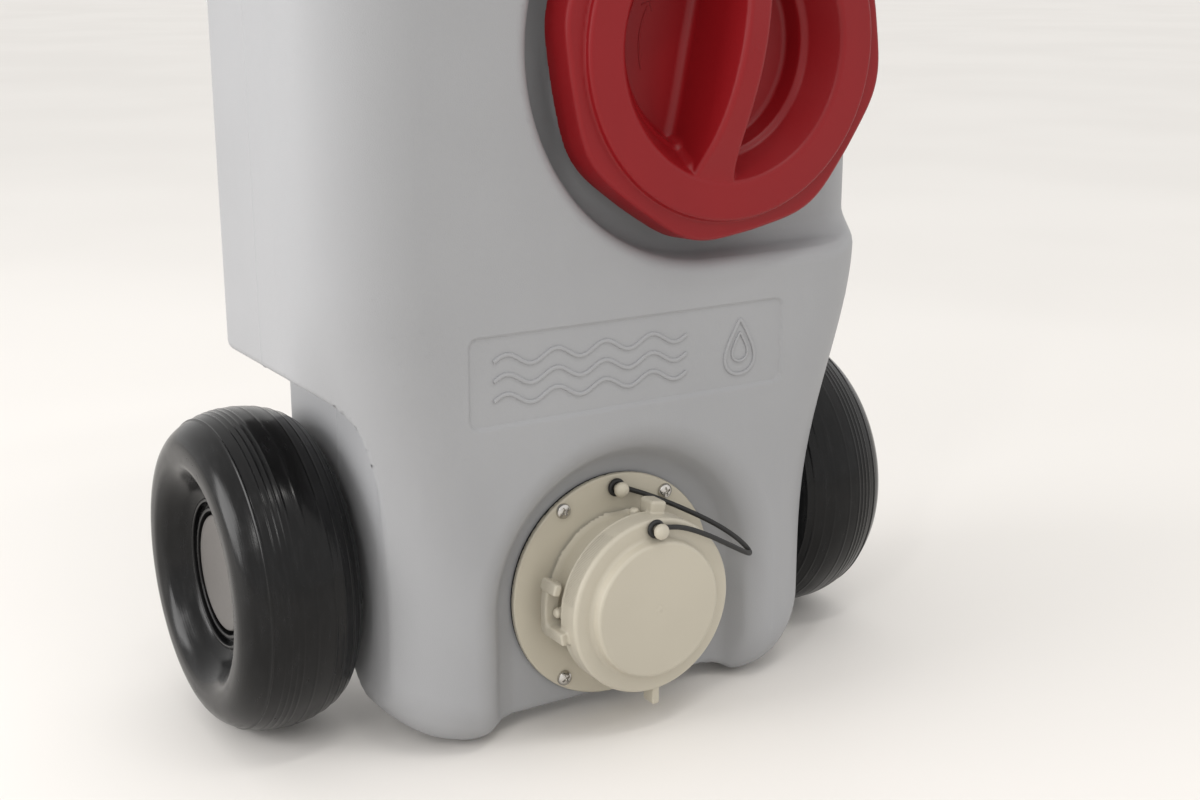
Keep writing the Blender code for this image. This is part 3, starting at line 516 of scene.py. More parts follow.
def through(route, per_span):
    """Catmull-Rom curve through a route's points, worked out for all spans at once."""
    p = np.asarray(route, float)
    p = np.concatenate([2 * p[:1] - p[1:2], p, 2 * p[-1:] - p[-2:-1]])
    a, b, c, d = (p[i:len(p) - 3 + i, None] for i in range(4))
    t = (np.arange(per_span) / per_span)[None, :, None]
    square = (2 * a - 5 * b + 4 * c - d) * t ** 2
    cube = (3 * b - a - 3 * c + d) * t ** 3
    curve = 0.5 * (2 * b + (c - a) * t + square + cube)
    return np.concatenate([curve.reshape(-1, 3), p[-2:-1]])


def make_tether():
    """Limp rubber cord with a moulded eye on each peg."""
    path = through(TETHER_ROUTE, 8) + (0, FRONT, 0)
    cord = solid("cap_tether_cord", [swept(path, TETHER_R)], RUBBER, None, None, "cap_tether")
    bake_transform(cord)
    turn = 2 * np.pi * np.arange(24) / 24
    eye = np.stack([PEG_SHAFT + TETHER_R * np.cos(turn), TETHER_R * np.sin(turn)], 1)
    ends = (("tether_eye_flange", "tank", FLANGE_FACE, PEG_REACH, "tether_ring_flange"),
            ("tether_eye_cap", "outlet_cap_body", CUP_FACE, CUP_PEG, "tether_ring_cap"))
    for name, body, depth, z, node in ends:
        centre = (0, FRONT + depth - PEG_SHAFT / 2, OUTLET_Z + z)
        ring = turned(eye, centre, (0, 1, 0), 48, None, True)
        solid(name, [ring], RUBBER, body, "rubber", node)


# ---- tank -----------------------------------------------------------------------------------
def half_width(d, z):
    """Half width at a height: waist below, eased out to the full width above, and sooner behind."""
    rise = smooth((z - WAIST_LOW) / (WAIST_HIGH - WAIST_LOW)) ** 1.6
    waist = WAIST_HALF + (HALF_WIDTH - WAIST_HALF) * rise
    return waist + (HALF_WIDTH - waist) * smooth((z - 0.160) / 0.072) * smooth((d - 0.024) / 0.030)


def tank_field(x, d, z):
    """Rounded plan outline as tall as the tank, less every hollow, plus the two necks."""
    side = np.abs(x)
    ahead = d < 0.5 * DEPTH
    corner = np.where(ahead, FRONT_CORNER, REAR_CORNER)
    qx = side - (half_width(d, z) - corner)
    qd = np.where(ahead, corner - d, d - (DEPTH - corner))
    plan = np.hypot(np.maximum(qx, 0), np.maximum(qd, 0)) + np.minimum(np.maximum(qx, qd), 0) - corner
    to_side = np.maximum(side - half_width(d, z) + FRONT_CORNER, 0) ** 2
    to_end = np.maximum(np.maximum(FRONT_CORNER - d, d - DEPTH + FRONT_CORNER), 0) ** 2
    sideways = to_side / (to_side + to_end + 1e-9)
    body = meet(plan, -z, 0.036 + 0.022 * sideways)
    body = meet(body, z - TANK_TOP, 0.028 + 0.017 * sideways)
    body = body + 0.0003 * (1 + np.sin(11.0 * z + 0.8) * np.cos(8.0 * x + 0.5))
    # filler recess, open to the right-hand side
    reach = np.hypot(np.minimum(x - CAP_X, 0), z - CAP_Z)
    ground = meet(RECESS_DEPTH - d, x - HALF_WIDTH, 0.035)
    body = cut(body, meet(reach - (RECESS_R - 0.2 * d), -ground, 0.011), 0.007)
    around = np.hypot(x - CAP_X, z - CAP_Z)
    body = join(body, meet(meet(around - NECK_OUT, NECK_END - d, 0.0015), d - 0.06), 0.004)
    body = cut(body, meet(around - NECK_IN, d - 0.045), 0.001)
    # outlet bay
    arch = np.hypot(x, np.maximum(z - OUTLET_Z, 0))
    body = cut(body, meet((arch - (BAY_R - 0.70 * d)) * 0.82, d - BAY_DEPTH, 0.009), 0.010)
    # underside: raised between the feet and behind them
    body = cut(body, meet((side - FOOT_INNER - 0.010 + 1.11 * z) * 0.67, z - BELLY, 0.003), 0.003)
    body = cut(body, meet((FOOT_OUTER + z - side) * 0.7, z - HEEL, 0.002), 0.0025)
    under = (z - HEEL - HEEL_SLOPE * (d - FOOT_REAR - 0.0045)) * 0.86
    heel_round = 0.0025 + 0.042 * smooth((d - 0.058) / 0.030)
    body = cut(body, meet((FOOT_REAR + z - d) * 0.7, under, 0.002), heel_round)
    # wheel pockets and the axle's tunnel
    under = meet(z - POCKET_ROOF, POCKET_FRONT - d, 0.034)
    body = cut(body, meet(POCKET_WALL - side, under, 0.008), 0.0045)
    body = cut(body, np.hypot(d - WHEEL_DEPTH, z - WHEEL_R) - 0.0085, 0.001)
    # carry handle
    low = 0.750 - z
    ahead_scoop = meet(meet(side - 0.070, low, 0.018), d - 0.058, 0.012)
    behind_scoop = meet(meet(side - 0.070, low, 0.018), 0.108 - d, 0.012)
    body = cut(cut(body, ahead_scoop, 0.010), behind_scoop, 0.010)
    body = cut(body, meet(side - 0.068, np.abs(z - 0.7666) - 0.016, 0.014), 0.009)
    # grooves for the tow handle
    groove = meet(np.abs(side - TUBE_X) - 0.0125, 0.152 - d, 0.006)
    body = cut(body, meet(groove, CHANNEL_LOW - z, 0.008), 0.003)
    # vent neck, label panel and parting line
    vent = np.hypot(x - VENT_X, d - VENT_DEPTH)
    body = join(body, meet(vent - 0.013, z - TANK_TOP - 0.010, 0.001) + 10 * (z < 0.79), 0.004)
    across = np.maximum(side - LABEL_HALF[0] + 0.007, 0)
    q = np.hypot(across, np.maximum(np.abs(z - LABEL_Z) - LABEL_HALF[1] + 0.007, 0))
    body = body + PANEL_SUNK * smooth((0.007 - q) / 0.0022) * (d < 0.02)
    return body - 0.0004 * np.exp(-((d - PARTING) / 0.0009) ** 2)


def make_tank():
    """Front and rear mouldings, each closed across the parting plane."""
    edge = LABEL_HALF[0]
    bands = [(s * edge - 0.009, s * edge + 0.009, 0.0011) for s in (-1, 1)]
    levels = [LABEL_Z + s * LABEL_HALF[1] for s in (-1, 1)]
    rows = [(level - 0.006, level + 0.006, 0.0011) for level in levels]
    rows.append((0.2285, 0.2365, 0.0016))
    xs = lines(-0.2005, 0.2005, CELL, bands)
    zs = lines(-0.003, 0.829, CELL, rows)
    seam = (PARTING - 0.003, PARTING + 0.003, 0.0006)
    halves = (("tank_front", -0.009, PARTING, ["tank_shell"]), ("tank_rear", PARTING, 0.1685, []))
    for name, low, high, nodes in halves:
        if name == "tank_front":
            ds = lines(low, high, CELL, [seam])
            ds = np.append(ds[ds < high - 0.0004], [high, high + 0.0006])
        else:
            ds = np.append([low - 0.0006], lines(low, high, CELL, [seam]))

        def field(x, d, z, front=name == "tank_front"):
            return tank_field(x, np.minimum(d, PARTING) if front else np.maximum(d, PARTING), z)

        p, quads = net(field, (xs, ds, zs))
        past = p[:, 1] > PARTING if name == "tank_front" else p[:, 1] < PARTING
        p[past, 1] = PARTING
        n = normals_of(field, p)
        shell = (p + (0, FRONT, 0), quads)
        piece = solid(name, [shell], TANK_GREY, "tank", "tank_plastic", *nodes, normals=n)
        close_seam(piece, n, 1 if name == "tank_front" else -1)


def close_seam(piece, normals, facing):
    """Fills the open loops on the parting plane, facing along +Y or -Y, and keeps the normals."""
    shape = bmesh.new()
    shape.from_mesh(piece.data)
    before = set(shape.faces)
    border = [e for e in shape.edges if len(e.link_faces) == 1]
    bmesh.ops.triangle_fill(shape, edges=border, use_beauty=False, use_dissolve=False)
    wrong = [f for f in shape.faces if f not in before and f.normal.y * facing < 0]
    bmesh.ops.reverse_faces(shape, faces=wrong)
    shape.to_mesh(piece.data)
    shape.free()
    piece.data.shade_smooth()
    piece.data.normals_split_custom_set_from_vertices(normals.tolist())


def ribbon(points, width, height, closed=False):
    """A raised moulded line on the label panel: a half-round bead carried along (x, z) points."""
    p = np.asarray(points, float)
    path = np.stack([p[:, 0], np.full(len(p), PANEL_SUNK), p[:, 1]], 1)
    way = np.gradient(path, axis=0)
    if closed:
        way = np.roll(path, -1, 0) - np.roll(path, 1, 0)
    way /= np.linalg.norm(way, axis=1)[:, None]
    across = np.cross(way, (0.0, 1.0, 0.0))
    turn = np.linspace(0, np.pi, 9)
    rise = np.sin(turn) ** 0.7 * height
    span = np.cos(turn) * width / 2
    ring = across[:, None] * span[None, :, None] - np.array((0, 1.0, 0)) * rise[None, :, None]
    edges = np.array((-0.5, 0.5))[None, :, None] * width
    base = across[:, None] * edges + np.array((0, 0.0006, 0))
    points = path[:, None] + np.concatenate([ring, base], 1) + (0, FRONT, 0)
    if not closed:
        ends = [np.repeat(points[i].mean(0)[None, None], points.shape[1], 1) for i in (0, -1)]
        points = np.concatenate([ends[0], points, ends[1]])
    return grid(points, closed)


def make_label():
    """Plain raised signs on the label panel: three long waves and a water drop."""
    shells = []
    s = np.linspace(0, 1, 90)
    for row in (-1, 0, 1):
        x = -0.094 + 0.132 * s
        z = LABEL_Z + 0.0115 * row + 0.0034 * np.sin(2 * np.pi * 4 * s)
        shells.append(ribbon(np.stack([x, z], 1), 0.0024, BEAD_HIGH))
    turn = np.linspace(0, 2 * np.pi, 73)[:-1]
    for scale, width in ((1.0, 0.0022), (0.52, 0.0016)):
        pull = 0.5 * (1 + np.sin(turn))
        x = 0.078 + scale * 0.0128 * np.cos(turn) * (1 - 0.72 * pull ** 2)
        z = LABEL_Z - 0.0045 * scale - 0.001 + scale * (0.0128 * np.sin(turn) + 0.0085 * pull ** 2.2)
        shells.append(ribbon(np.stack([x, z], 1), width, BEAD_HIGH, True))
    solid("label_signs", shells, TANK_GREY, "tank", "tank_plastic")


# ---- filler cap -----------------------------------------------------------------------------
def cap_field(x, d, z):
    """Lobed flange with a raised ring, less a deep stepped bowl, plus an arched rib across it."""
    dx = x - CAP_X
    dz = z - CAP_Z
    f = CAP_FACE
    r = np.hypot(dx, dz)
    wave = 0.5 + 0.5 * np.cos(8 * (np.arctan2(dz, dx) + math.radians(12.5)))
    lobed = r + (0.0018 - 0.0036 * wave ** 1.3) * smooth((r - 0.098) / 0.006)
    flange = meet(lobed - 0.1120 - 0.06 * (d - 0.009), f + 0.0050 - d, 0.0028)
    flange = meet(flange, d - 0.0090, 0.0008)
    ring = meet(r - 0.0998 - 0.05 * (d - f), f - d, 0.0022)
    cap = join(flange, ring, 0.0012)
    radii = (0.0605, 0.0645, 0.0700, 0.0800, 0.0801)
    backs = (0.0185, 0.0080, 0.0055, -0.0095, 0.0200)
    cap = meet(cap, d - np.interp(r, radii, backs))
    cap = cut(cap, meet(meet(0.0800 - r, r - 0.1042), f + 0.0095 - d), 0.0005)
    mouth = (r - 0.0655 - 0.55 * np.maximum(0.0022 - d, 0)) * 0.88
    bowl = meet(mouth, d - 0.0030, 0.003)
    well = meet(r - 0.0590 - 0.33 * (WELL_FLOOR - d), d - WELL_FLOOR, 0.0025)
    cap = cut(cut(cap, bowl, 0.0022), well, 0.0012)
    s = dx * math.sin(CAP_TILT) + dz * math.cos(CAP_TILT)
    u = np.abs(dx * math.cos(CAP_TILT) - dz * math.sin(CAP_TILT))
    rise = 0.0187 * (1 - (s / 0.072) ** 2)
    crest = f + 0.0017 - 0.5 * (rise + np.hypot(rise, 0.004))
    half = 0.0082 + 0.0085 * np.clip(np.abs(s) / 0.079, 0, 1.1) ** 4 + 0.10 * np.maximum(d - crest, 0)
    lean = 1 / np.sqrt(1 + (0.52 * s / 0.072) ** 2)
    rib = meet((crest - d) * lean, u - half, 0.0032)
    rib = meet(rib, meet(np.abs(s) - 0.0790, d - 0.0155))
    cap = join(cap, rib, 0.0008 + 0.0050 * smooth((d - f - 0.0015) / 0.006))
    gate = np.exp(-(s ** 2 + u ** 2) / 0.0011 ** 2)
    speck = np.exp(-((dx - 0.0327) ** 2 + (dz + 0.091) ** 2) / 0.0011 ** 2)
    return cap - 0.0003 * (gate + speck)


def make_filler_cap():
    step = 0.00132
    spans = (lines(CAP_X - 0.1155, CAP_X + 0.1155, step), lines(-0.0390, 0.0200, step),
             lines(CAP_Z - 0.1155, CAP_Z + 0.1155, step))
    cast("filler_cap_moulding", cap_field, spans, CAP_RED, "filler_cap_body", "cap_plastic", "filler_cap")
    turn = np.radians(np.linspace(150, 195, 40))
    line = np.stack([CAP_X + 0.0465 * np.cos(turn), CAP_Z + 0.0465 * np.sin(turn)], 1)
    shift = (0, WELL_FLOOR - PANEL_SUNK, 0)
    marks = [ribbon(line, 0.0012, 0.0005)]
    head = np.array(((0.0425, 152), (0.0465, 147), (0.0505, 152)))
    arrow = np.stack([CAP_X + head[:, 0] * np.cos(np.radians(head[:, 1])),
                      CAP_Z + head[:, 0] * np.sin(np.radians(head[:, 1]))], 1)
    marks.append(ribbon(arrow, 0.0012, 0.0005))
    shells = [(v + shift, q) for v, q in marks]
    solid("filler_cap_marks", shells, CAP_RED, "filler_cap_body", "cap_plastic")
    face = CAP_FACE + 0.0098
    rear = NECK_END - 0.0003
    seal = rounded([(0.0855, face), (0.0975, face), (0.0975, rear), (0.0855, rear)], 0.0008, 4, True)
    shell = turned(seal, (CAP_X, FRONT, CAP_Z), (0, 1, 0), 96, None, True)
    solid("filler_ring_seal", [shell], RUBBER, "filler_seal_body", "rubber", "filler_seal")


# ---- outlet ---------------------------------------------------------------------------------
def mushroom(x, d, z, base, height):
    """Peg: a thin shaft and a domed head."""
    r = np.hypot(x, z - height)
    shaft = meet(r - 0.0021, meet(base - 0.0075 - d, d - base - 0.002))
    head = (np.sqrt((r / 0.0049) ** 2 + ((d - base + 0.0081) / 0.0038) ** 2 + 1e-12) - 1) * 0.0038
    return join(shaft, head, 0.0006)


def quarter(x, h):
    """Angle counted from the nearest of the four pins."""
    return (np.arctan2(h, x) + np.pi / 4) % (np.pi / 2) - np.pi / 4


def flange_field(x, d, z):
    """Flat flange running through a wide fillet into the spout, with its four pins and peg."""
    h = z - OUTLET_Z
    r = np.hypot(x, h)
    plate = meet(meet(r - FLANGE_R, FLANGE_FACE - d, 0.0010), d - FLANGE_FACE - 0.0032, 0.0004)
    pipe = meet(meet(r - SPOUT_OUT, SPOUT_END - d, 0.0010), d - BAY_DEPTH - 0.012, 0.0006)
    behind = np.maximum(r - 0.0415, FLANGE_FACE + 0.0032 - d)
    pipe = meet(pipe, np.where(d > 0.02, behind, -0.01))
    body = join(plate, pipe, 0.0075)
    a = quarter(x, h)
    across = r * np.sin(a)
    out = r * np.cos(a)
    pin = meet(meet(np.hypot(across, d) - 0.0032, out - 0.0565, 0.0022), 0.0440 - out)
    body = join(body, pin, 0.0012)
    body = join(body, mushroom(x, d, h, FLANGE_FACE, PEG_REACH), 0.0008)
    return cut(body, r - SPOUT_IN, 0.0008)


def outlet_cap_field(x, d, z):
    """Bayonet cup with a raised disc, a hook at each side, a tooth above, a peg and a finger tab."""
    h = z - OUTLET_Z
    r = np.hypot(x, h)
    cup = meet(meet(r - CUP_R + 0.03 * (d - CUP_FACE), CUP_FACE - d, 0.0026), d - CUP_REAR, 0.0008)
    disc = meet(r - DISC_R - 0.22 * (d - DISC_FACE), DISC_FACE - d, 0.0018)
    disc = meet(disc, d + 0.019)
    cup = join(cup, disc, 0.0022)
    cup = cup - 0.0005 * np.exp(-((d - CUP_REAR + 0.0016) / 0.0009) ** 2) * (r > 0.053)
    cup = cut(cup, meet(r - 0.0492, CUP_FACE + 0.0035 - d), 0.0008)
    a = quarter(x, h)

    def block(first, last, inner, outer, front, rear, edge):
        along = np.abs(a - math.radians((first + last) / 2)) - math.radians((last - first) / 2)
        q = meet(along * 0.055, np.abs(r - (inner + outer) / 2) - (outer - inner) / 2, edge)
        return meet(q, np.abs(d - (front + rear) / 2) - (rear - front) / 2, edge)

    root = block(8.5, 16.5, 0.0500, 0.0602, -0.0125, 0.0105, 0.0014)
    leg = block(-18.5, 14, 0.0502, 0.0603, 0.0042, 0.0108, 0.0014)
    tip = block(-19.5, -12.5, 0.0572, 0.0622, -0.0062, 0.0105, 0.0014)
    hook = join(join(root, leg, 0.0030), tip, 0.0012) + (np.abs(x) < np.abs(h))
    tooth = block(-16.0, -5.5, 0.0520, 0.0628, -0.0110, 0.0030, 0.0020) + (np.abs(x) > h)
    cap = join(join(cup, hook, 0.0016), tooth, 0.0012)
    cap = join(cap, mushroom(x, d, h, CUP_FACE, CUP_PEG), 0.0008)
    tab = meet(np.abs(x - 0.004) - 0.0025, np.abs(h + 0.059) - 0.007, 0.0012)
    tab = meet(tab, np.abs(d + 0.0145) - 0.0055, 0.0010)
    web = meet(np.abs(x + 0.001) - 0.0060, (-h - 0.0555) * 0.8 - 0.45 * (x - 0.004) - 0.004)
    web = meet(meet(web, np.maximum(0.0530 - r, h)), np.abs(d + 0.0125) - 0.0012, 0.0006)
    cap = join(cap, join(tab, web, 0.001), 0.0012)
    gate = np.exp(-(r / 0.0009) ** 2) - 0.5 * np.exp(-((r - 0.0030) / 0.0006) ** 2)
    return cap - 0.00035 * gate * (d < -0.02)


def knurled(material_name, colour):
    """Moulded finish with a fine raised knurl on two sectors of the cup's skirt."""
    finish = Finish(material_name, Roughness=0.42)
    x, y, z = finish.axes()
    h = z - OUTLET_Z
    radius = (x ** 2.0 + h ** 2.0) ** 0.5
    turn = finish.node("ShaderNodeMath", {"operation": "ARCTAN2"}, {0: h, 1: x})
    along = turn * 0.0555
    depth = y - FRONT
    dots = (along + depth).wave(3600.0) * (along - depth).wave(3600.0)
    skirt = radius.step(0.0540, 0.0546) * depth.step(-0.0195, -0.0185)
    skirt = skirt * (1 - depth.step(-0.0075, -0.0065))
    above = turn.step(2.05, 2.10) * (1 - turn.step(2.95, 3.0))
    below = turn.step(-1.85, -1.8) * (1 - turn.step(-1.05, -1.0))
    sector = above + below
    cloud = finish.noise(14.0, 2.0)
    fine = finish.noise(2100.0, 2.0, 0.6)
    tone = finish.mix(cloud.step(0.3, 0.7), shade(colour, 0.975), shade(colour, 1.03))
    finish.feed("Base Color", tone)
    finish.feed("Roughness", (cloud - 0.5) * 0.1 + 0.42)
    finish.relief((dots.held() * skirt * sector, 0.9, 0.00035), (fine, 0.35, 0.00024))
    return finish.material


def make_outlet():
    step = 0.00095
    wide = lines(-0.0735, 0.0735, step)
    spans = (wide, lines(-0.0165, 0.0405, step), wide + OUTLET_Z)
    cast("outlet_flange_moulding", flange_field, spans, BEIGE, "tank", "fitting_plastic", "outlet_flange")
    knurl = knurled("outlet_cap_plastic", (0.47, 0.435, 0.355))
    wide = lines(-0.0620, 0.0620, step)
    tall = lines(-0.0680, 0.0640, step) + OUTLET_Z
    spans = (wide, lines(-0.0360, 0.0120, step), tall)
    cast("outlet_cap_moulding", outlet_cap_field, spans, knurl, "outlet_cap_body", "fitting_plastic",
         "outlet_cap")
    origin = (0, FRONT, OUTLET_Z)
    rings = (("outlet_gasket_ring", 0.0440, 0.0717, 0.0255, 0.0270, "tank", "outlet_gasket"),
             ("outlet_cap_ring", 0.0395, 0.0485, -0.0182, -0.0151, "outlet_cap_body", "outlet_cap_seal"))
    for name, inner, outer, front, rear, body, node in rings:
        corners = [(inner, front), (outer, front), (outer, rear), (inner, rear)]
        shell = turned(rounded(corners, 0.0004, 3, True), origin, (0, 1, 0), 96, None, True)
        solid(name, [shell], RUBBER, body, "rubber", node)


def screw(name, x, face, z, facing, node):
    """Pan-head screw: the head is a dome over (radius, turn) less a cross whose four arms fade
    outwards, and the shank is turned."""
    rolled = 0.0041 + 0.0009 * np.sin(np.linspace(0.15, np.pi / 2, 7))
    radius = np.concatenate([np.linspace(0, 0.0041, 24), rolled])
    turn = 2 * np.pi * np.arange(96) / 96
    r = radius[:, None]
    tilt = math.radians(23) + 40 * x
    u = np.abs(r * np.cos(turn - tilt))
    v = np.abs(r * np.sin(turn - tilt))
    near = np.minimum(u, v)
    arm = smooth((0.00072 - near) / 0.00024) * smooth((0.0031 - np.maximum(u, v)) / 0.0006)
    core = smooth((0.0015 - r) / 0.0006)
    high = 0.0030 * np.sqrt(np.maximum(1 - (r / 0.0056) ** 2, 0.0)) * (1 + 0 * turn)
    edge = np.clip((r - 0.0041) / 0.0009, 0, 1)
    high = high * (1 - edge ** 4) - np.maximum(arm * 0.0012, core * 0.0017)
    high = np.maximum(high, 0.00005)
    points = np.stack([x + r * np.cos(turn), FRONT + face + facing * high, z + r * np.sin(turn)], 2)
    flat = np.full(96, FRONT + face)
    rim, inner = (np.stack([x + reach * np.cos(turn), flat, z + reach * np.sin(turn)], 1)[None]
                  for reach in (0.0050, 0.0019))
    deep = inner - (0, facing * 0.0095, 0)
    tip = np.repeat(np.array((x, FRONT + face - facing * 0.0115, z))[None, None], 96, 1)
    shell = grid(np.concatenate([points, rim, inner, deep, tip]))
    solid(name, [shell], STEEL, "tank", "steel", node)


def make_screws():
    places = [(sx * SCREW_X, OUTLET_Z + sz * SCREW_Z) for sx in (-1, 1) for sz in (-1, 1)]
    for i, (x, z) in enumerate(places):
        screw(f"flange_screw_{i + 1}", x, FLANGE_FACE, z, -1, f"outlet_screw_{i + 1}")
    places = [(side * TUBE_X + step * CLAMP_SCREW, z)
              for z in CLAMP_LEVELS for side in (-1, 1) for step in (-1, 1)]
    for i, (x, z) in enumerate(places):
        screw(f"strap_screw_{i + 1}", x, DEPTH + STRAP_T, z, 1, f"clamp_screw_{i + 1}")


# ---- wheels ---------------------------------------------------------------------------------
def tread_profile():
    """Section over the tread from the inner to the outer side: the radius falls towards both
    edges, with fine raised rings on it and a sharper one at each shoulder."""
    a = np.linspace(-np.pi / 2, np.pi / 2, 420)
    across = WHEEL_HALF * np.sin(a)
    radius = WHEEL_R - TREAD_DROP * (1 - np.abs(np.cos(a)) ** 0.9)
    rings = np.zeros_like(a)
    beads = ((-0.0315, 0.0004, 0.0006), (-0.0270, 0.0004, 0.0007), (-0.0210, 0.0003, 0.0007),
             (-0.0140, 0.0002, 0.0008), (-0.0020, 0.0002, 0.0008), (0.0065, 0.0003, 0.0007),
             (0.0100, 0.0003, 0.0006), (0.0134, 0.0003, 0.0006), (0.0170, 0.0003, 0.0006),
             (0.0235, 0.0007, 0.0006))
    for place, high, wide in beads:
        rings += high * np.exp(-((across - place) / wide) ** 2)
    return np.stack([np.minimum(radius - 0.0006 + rings, WHEEL_R), across], 1)


def make_wheel(name, hand):
    dish = [(0.0760, 0.0380), (0.0700, 0.0378), (0.0640, 0.0345), (0.0575, 0.0265), (0.0545, 0.0215),
            (0.0505, 0.0180), (0.0472, 0.0172)]
    rings = [(0.0468, 0.0225), (0.0440, 0.0228), (0.0435, 0.0175), (0.0410, 0.0175), (0.0406, 0.0212),
             (0.0380, 0.0212)]
    bore = [(0.0374, 0.0130), (0.0370, 0.0090), (0.0130, 0.0090), (0.0130, 0.0050), (HUB_BORE, 0.0050),
            (HUB_BORE, -0.0400), (0.0150, -0.0400)]
    back = [(0.0165, -0.0352), (0.0400, -0.0335), (0.0620, -0.0352), (0.0700, -0.0378), (0.0760, -0.0380)]
    hub = dish + rings + bore + back
    cuts = [0.004, 0.004, 0.006, 0.006, 0.004, 0.003, 0.0008, 0.0012, 0.0012, 0.0006] + [0.0008] * 3
    cuts += [0.0006] * 12
    inside = rounded(hub, cuts, 7)
    profile = np.concatenate([tread_profile(), inside[1:-1]])
    profile[:, 1] = hand * (WHEEL_X + profile[:, 1])
    shell = turned(profile, (0, FRONT + WHEEL_DEPTH, WHEEL_R), (1, 0, 0), 160, None, True)
    solid(f"{name}_moulding", [shell], WHEEL_BLACK, f"{name}_body", "wheel_plastic", name)


def make_hub_disc(name, hand, body):
    """Plain disc with a soft edge and the least hollow in its face."""
    c = WHEEL_X
    face = [(0, c + 0.0200), (0.0220, c + 0.0201), (0.0320, c + 0.0205), (0.0358, c + 0.0203),
            (0.0362, c + 0.0096), (0.0335, c + 0.0096), (0.0330, c + 0.0175), (0, c + 0.0175)]
    profile = rounded(face, [0, 0.005, 0.003, 0.0012, 0.0004, 0.0004, 0.001, 0], 7)
    profile[:, 1] *= hand
    shell = turned(profile, (0, FRONT + WHEEL_DEPTH, WHEEL_R), (1, 0, 0), 96)
    solid(f"{name}_disc", [shell], HUB_GREY, body, "hub_plastic", name)


# ---- tow handle and vent --------------------------------------------------------------------
def grip_field(x, d, z):
    """Cross bar with swept underside and soft finger waves, run into a socket over each leg."""
    s = x / 0.123
    middle = TUBE_HIGH + 0.0096 - 0.004 * (1 - s * s)
    wave = 0.0006 * np.cos(2 * np.pi * x / 0.021) * smooth((0.072 - np.abs(x)) / 0.01) * (z < middle)
    bar = (np.hypot((d - TUBE_DEPTH) / 0.0133, (z - middle) / 0.0128) - 1) * 0.013 + wave
    bar = meet(bar, np.abs(x) - 0.1225, 0.0095)
    r = np.hypot(np.abs(x) - TUBE_X, d - TUBE_DEPTH)
    low = TUBE_HIGH - 0.024
    socket = r - 0.0113 - 0.075 * np.clip(z - low, 0, 0.02)
    socket = meet(socket, meet(low - z, z - TUBE_HIGH - 0.010), 0.0012)
    body = join(bar, socket, 0.006)
    return cut(body, meet(r - 0.0083, z - TUBE_HIGH - 0.0003), 0.0006)


def make_tow_handle():
    step = 0.0013
    spans = (lines(-0.1250, 0.1250, step), lines(0.148, 0.181, step),
             lines(TUBE_HIGH - 0.026, TUBE_HIGH + 0.028, step))
    cast("tow_grip_moulding", grip_field, spans, GRIP_BLACK, "tow_handle", "grip_plastic", "tow_grip")
    for side, hand in (("left", -1), ("right", 1)):
        centre = (hand * TUBE_X, FRONT + TUBE_DEPTH, 0)
        inner = TUBE_R - 0.0014
        low = TUBE_LOW
        corners = [(TUBE_R, low), (TUBE_R, TUBE_HIGH), (inner, TUBE_HIGH), (inner, low)]
        tube = turned(rounded(corners, 0.0004, 3, True), centre, (0, 0, 1), 48, None, True)
        solid(f"tow_leg_{side}", [tube], ALUMINIUM, "tow_handle", "aluminium", f"tow_tube_{side}")
        corners = [(0, low - 0.009), (0.0095, low - 0.009), (0.0105, low - 0.0065),
                   (0.0105, low - 0.0003), (0.0063, low - 0.0003), (0.0063, low + 0.016), (0, low + 0.016)]
        plug = turned(rounded(corners, 0.001, 5), centre, (0, 0, 1), 48)
        solid(f"tow_leg_stop_{side}", [plug], GRIP_BLACK, "tow_handle", "grip_plastic",
              f"tube_plug_{side}")


def make_straps():
    """Strap over each leg: a flat foot either side of a round crown, bored for the leg."""
    for level, height in zip(("lower", "upper"), CLAMP_LEVELS):
        for side, hand in (("left", -1), ("right", 1)):
            def field(x, d, z, middle=hand * TUBE_X, z0=height):
                along = np.abs(x - middle)
                foot = meet(meet(along - 0.0248, d - DEPTH - STRAP_T, 0.0010), DEPTH + 0.0003 - d)
                crown = np.hypot(along, d - TUBE_DEPTH) - 0.0118
                body = meet(join(foot, crown, 0.0030), DEPTH + 0.0003 - d)
                body = meet(body, np.abs(z - z0) - 0.0109, 0.0010)
                body = cut(body, np.hypot(along, d - TUBE_DEPTH) - 0.0083, 0.0004)
                return cut(body, np.hypot(along - CLAMP_SCREW, z - z0) - 0.0023, 0.0002)

            middle = hand * TUBE_X
            spans = (lines(middle - 0.0265, middle + 0.0265, 0.0009), lines(0.1650, 0.1775, 0.0007),
                     lines(height - 0.0125, height + 0.0125, 0.0009))
            cast(f"strap_{level}_{side}", field, spans, GRIP_BLACK, "tank", "grip_plastic",
                 f"clamp_{level}_{side}")


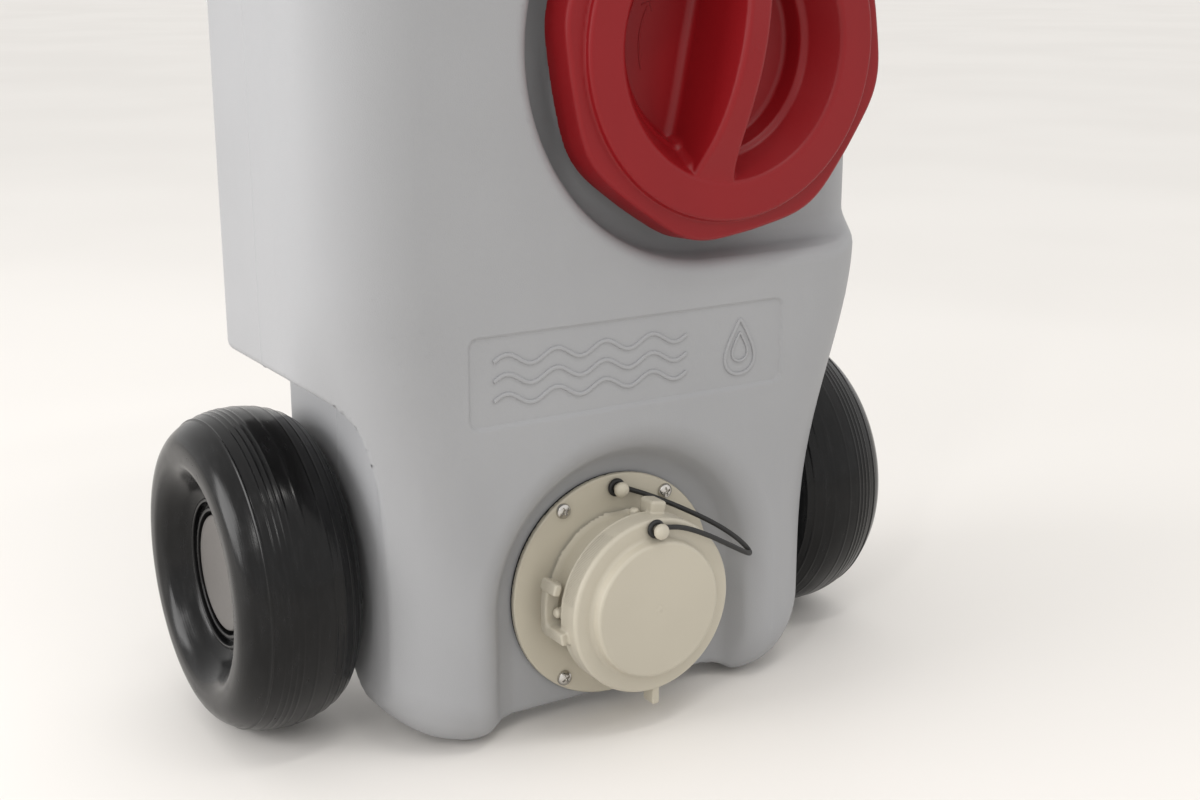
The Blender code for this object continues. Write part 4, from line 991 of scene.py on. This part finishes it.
def make_vent():
    base = (VENT_X, FRONT + VENT_DEPTH, TANK_TOP + 0.010)

    def knurl(radius, turn, height):
        grooves = 0.0006 * np.clip(1.6 * np.cos(24 * turn), -1, 1)
        return radius + grooves * smooth((radius - 0.0160) / 0.0008) - 0.0002 * smooth(radius / 0.0060)

    outline = [(0, 0.0052), (0.0060, 0.0052), (0.0070, 0.0047), (0.0148, 0.0047), (0.0168, 0.0034),
               (0.0170, -0.0085), (0.0140, -0.0085), (0.0140, 0.0021), (0, 0.0021)]
    profile = rounded(outline, [0, 0.001, 0.001, 0.001, 0.0015, 0.0006, 0.0004, 0.0004, 0], 7)
    cap = turned(profile, base, (0, 0, 1), 192, knurl)
    solid("vent_cap_moulding", [cap], CAP_RED, "vent_cap_body", "cap_plastic", "vent_cap")
    outline = [(0.0088, 0.0003), (0.0128, 0.0003), (0.0128, 0.0018), (0.0088, 0.0018)]
    seal = turned(rounded(outline, 0.0004, 4, True), base, (0, 0, 1), 64, None, True)
    solid("vent_ring_seal", [seal], RUBBER, "vent_seal_body", "rubber", "vent_seal")


# ---- floor and light ------------------------------------------------------------------------
def make_room():
    finish = Finish("floor", Roughness=0.55, Specular_IOR_Level=0.25)
    cloud = finish.noise(1.2, 2.0)
    tone = finish.mix(cloud.step(0.3, 0.7), (0.80, 0.775, 0.745, 1), (0.83, 0.805, 0.775, 1))
    finish.feed("Base Color", tone)
    side = np.linspace(-45, 45, 7)
    x, y = np.meshgrid(side, side, indexing="ij")
    points = np.stack([x, y, np.zeros_like(x)], 2)
    verts, faces = grid(points, False, False)
    mesh = bpy.data.meshes.new("floor")
    mesh.from_pydata(verts.tolist(), [], faces.tolist())
    mesh.materials.append(finish.material)
    floor = bpy.data.objects.new("floor", mesh)
    if mesh.polygons[0].normal.z < 0:
        mesh.flip_normals()
    bpy.context.scene.collection.objects.link(floor)
    world = bpy.data.worlds.new("room")
    world.use_nodes = True
    sky = world.node_tree.nodes["Background"]
    sky.inputs[0].default_value = (1.0, 0.99, 0.975, 1)
    sky.inputs[1].default_value = 0.98
    bpy.context.scene.world = world


def lamp(name, place, aim, size, power, colour=(1, 1, 1)):
    light = bpy.data.lights.new(name, "AREA")
    light.shape = "RECTANGLE"
    light.size, light.size_y = size
    light.energy = power
    light.color = colour
    thing = bpy.data.objects.new(name, light)
    thing.location = place
    direction = np.subtract(aim, place)
    flat = math.hypot(direction[0], direction[1])
    heading = math.atan2(direction[1], direction[0]) - math.pi / 2
    thing.rotation_euler = (math.atan2(flat, -direction[2]), 0, heading)
    bpy.context.scene.collection.objects.link(thing)


def make_lights():
    lamp("window_left", (-2.4, 0.5, 0.9), (0, 0, 0.35), (1.5, 1.3), 40, (1.0, 0.99, 0.985))
    lamp("strip_left", (-1.5, -1.3, 1.5), (-0.2, 0, 0.1), (0.10, 0.7), 5, (1.0, 0.99, 0.97))
    lamp("strip_top", (0.1, -0.9, 2.2), (0, 0, 0.2), (0.9, 0.12), 6, (1.0, 0.98, 0.95))


# ---- the whole object -----------------------------------------------------------------------
make_camera()
make_tether()
make_tank()
make_label()
make_filler_cap()
make_outlet()
make_screws()
for side, hand in (("left", -1), ("right", 1)):
    make_wheel(f"wheel_{side}", hand)
    make_hub_disc(f"hub_cap_{side}", hand, f"wheel_{side}_body")
make_tow_handle()
make_straps()
make_vent()
kept = {"axle": STEEL, "axle_bush": GRIP_BLACK, "axle_washer": STEEL, "axle_clip": STEEL}
for node_name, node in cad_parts.items():
    finish = kept.get(node_name.replace("_left", "").replace("_right", ""))
    if finish is not None:
        node.material_slots[0].material = finish
make_room()
make_lights()
bpy.context.scene.view_settings.view_transform = "Standard"
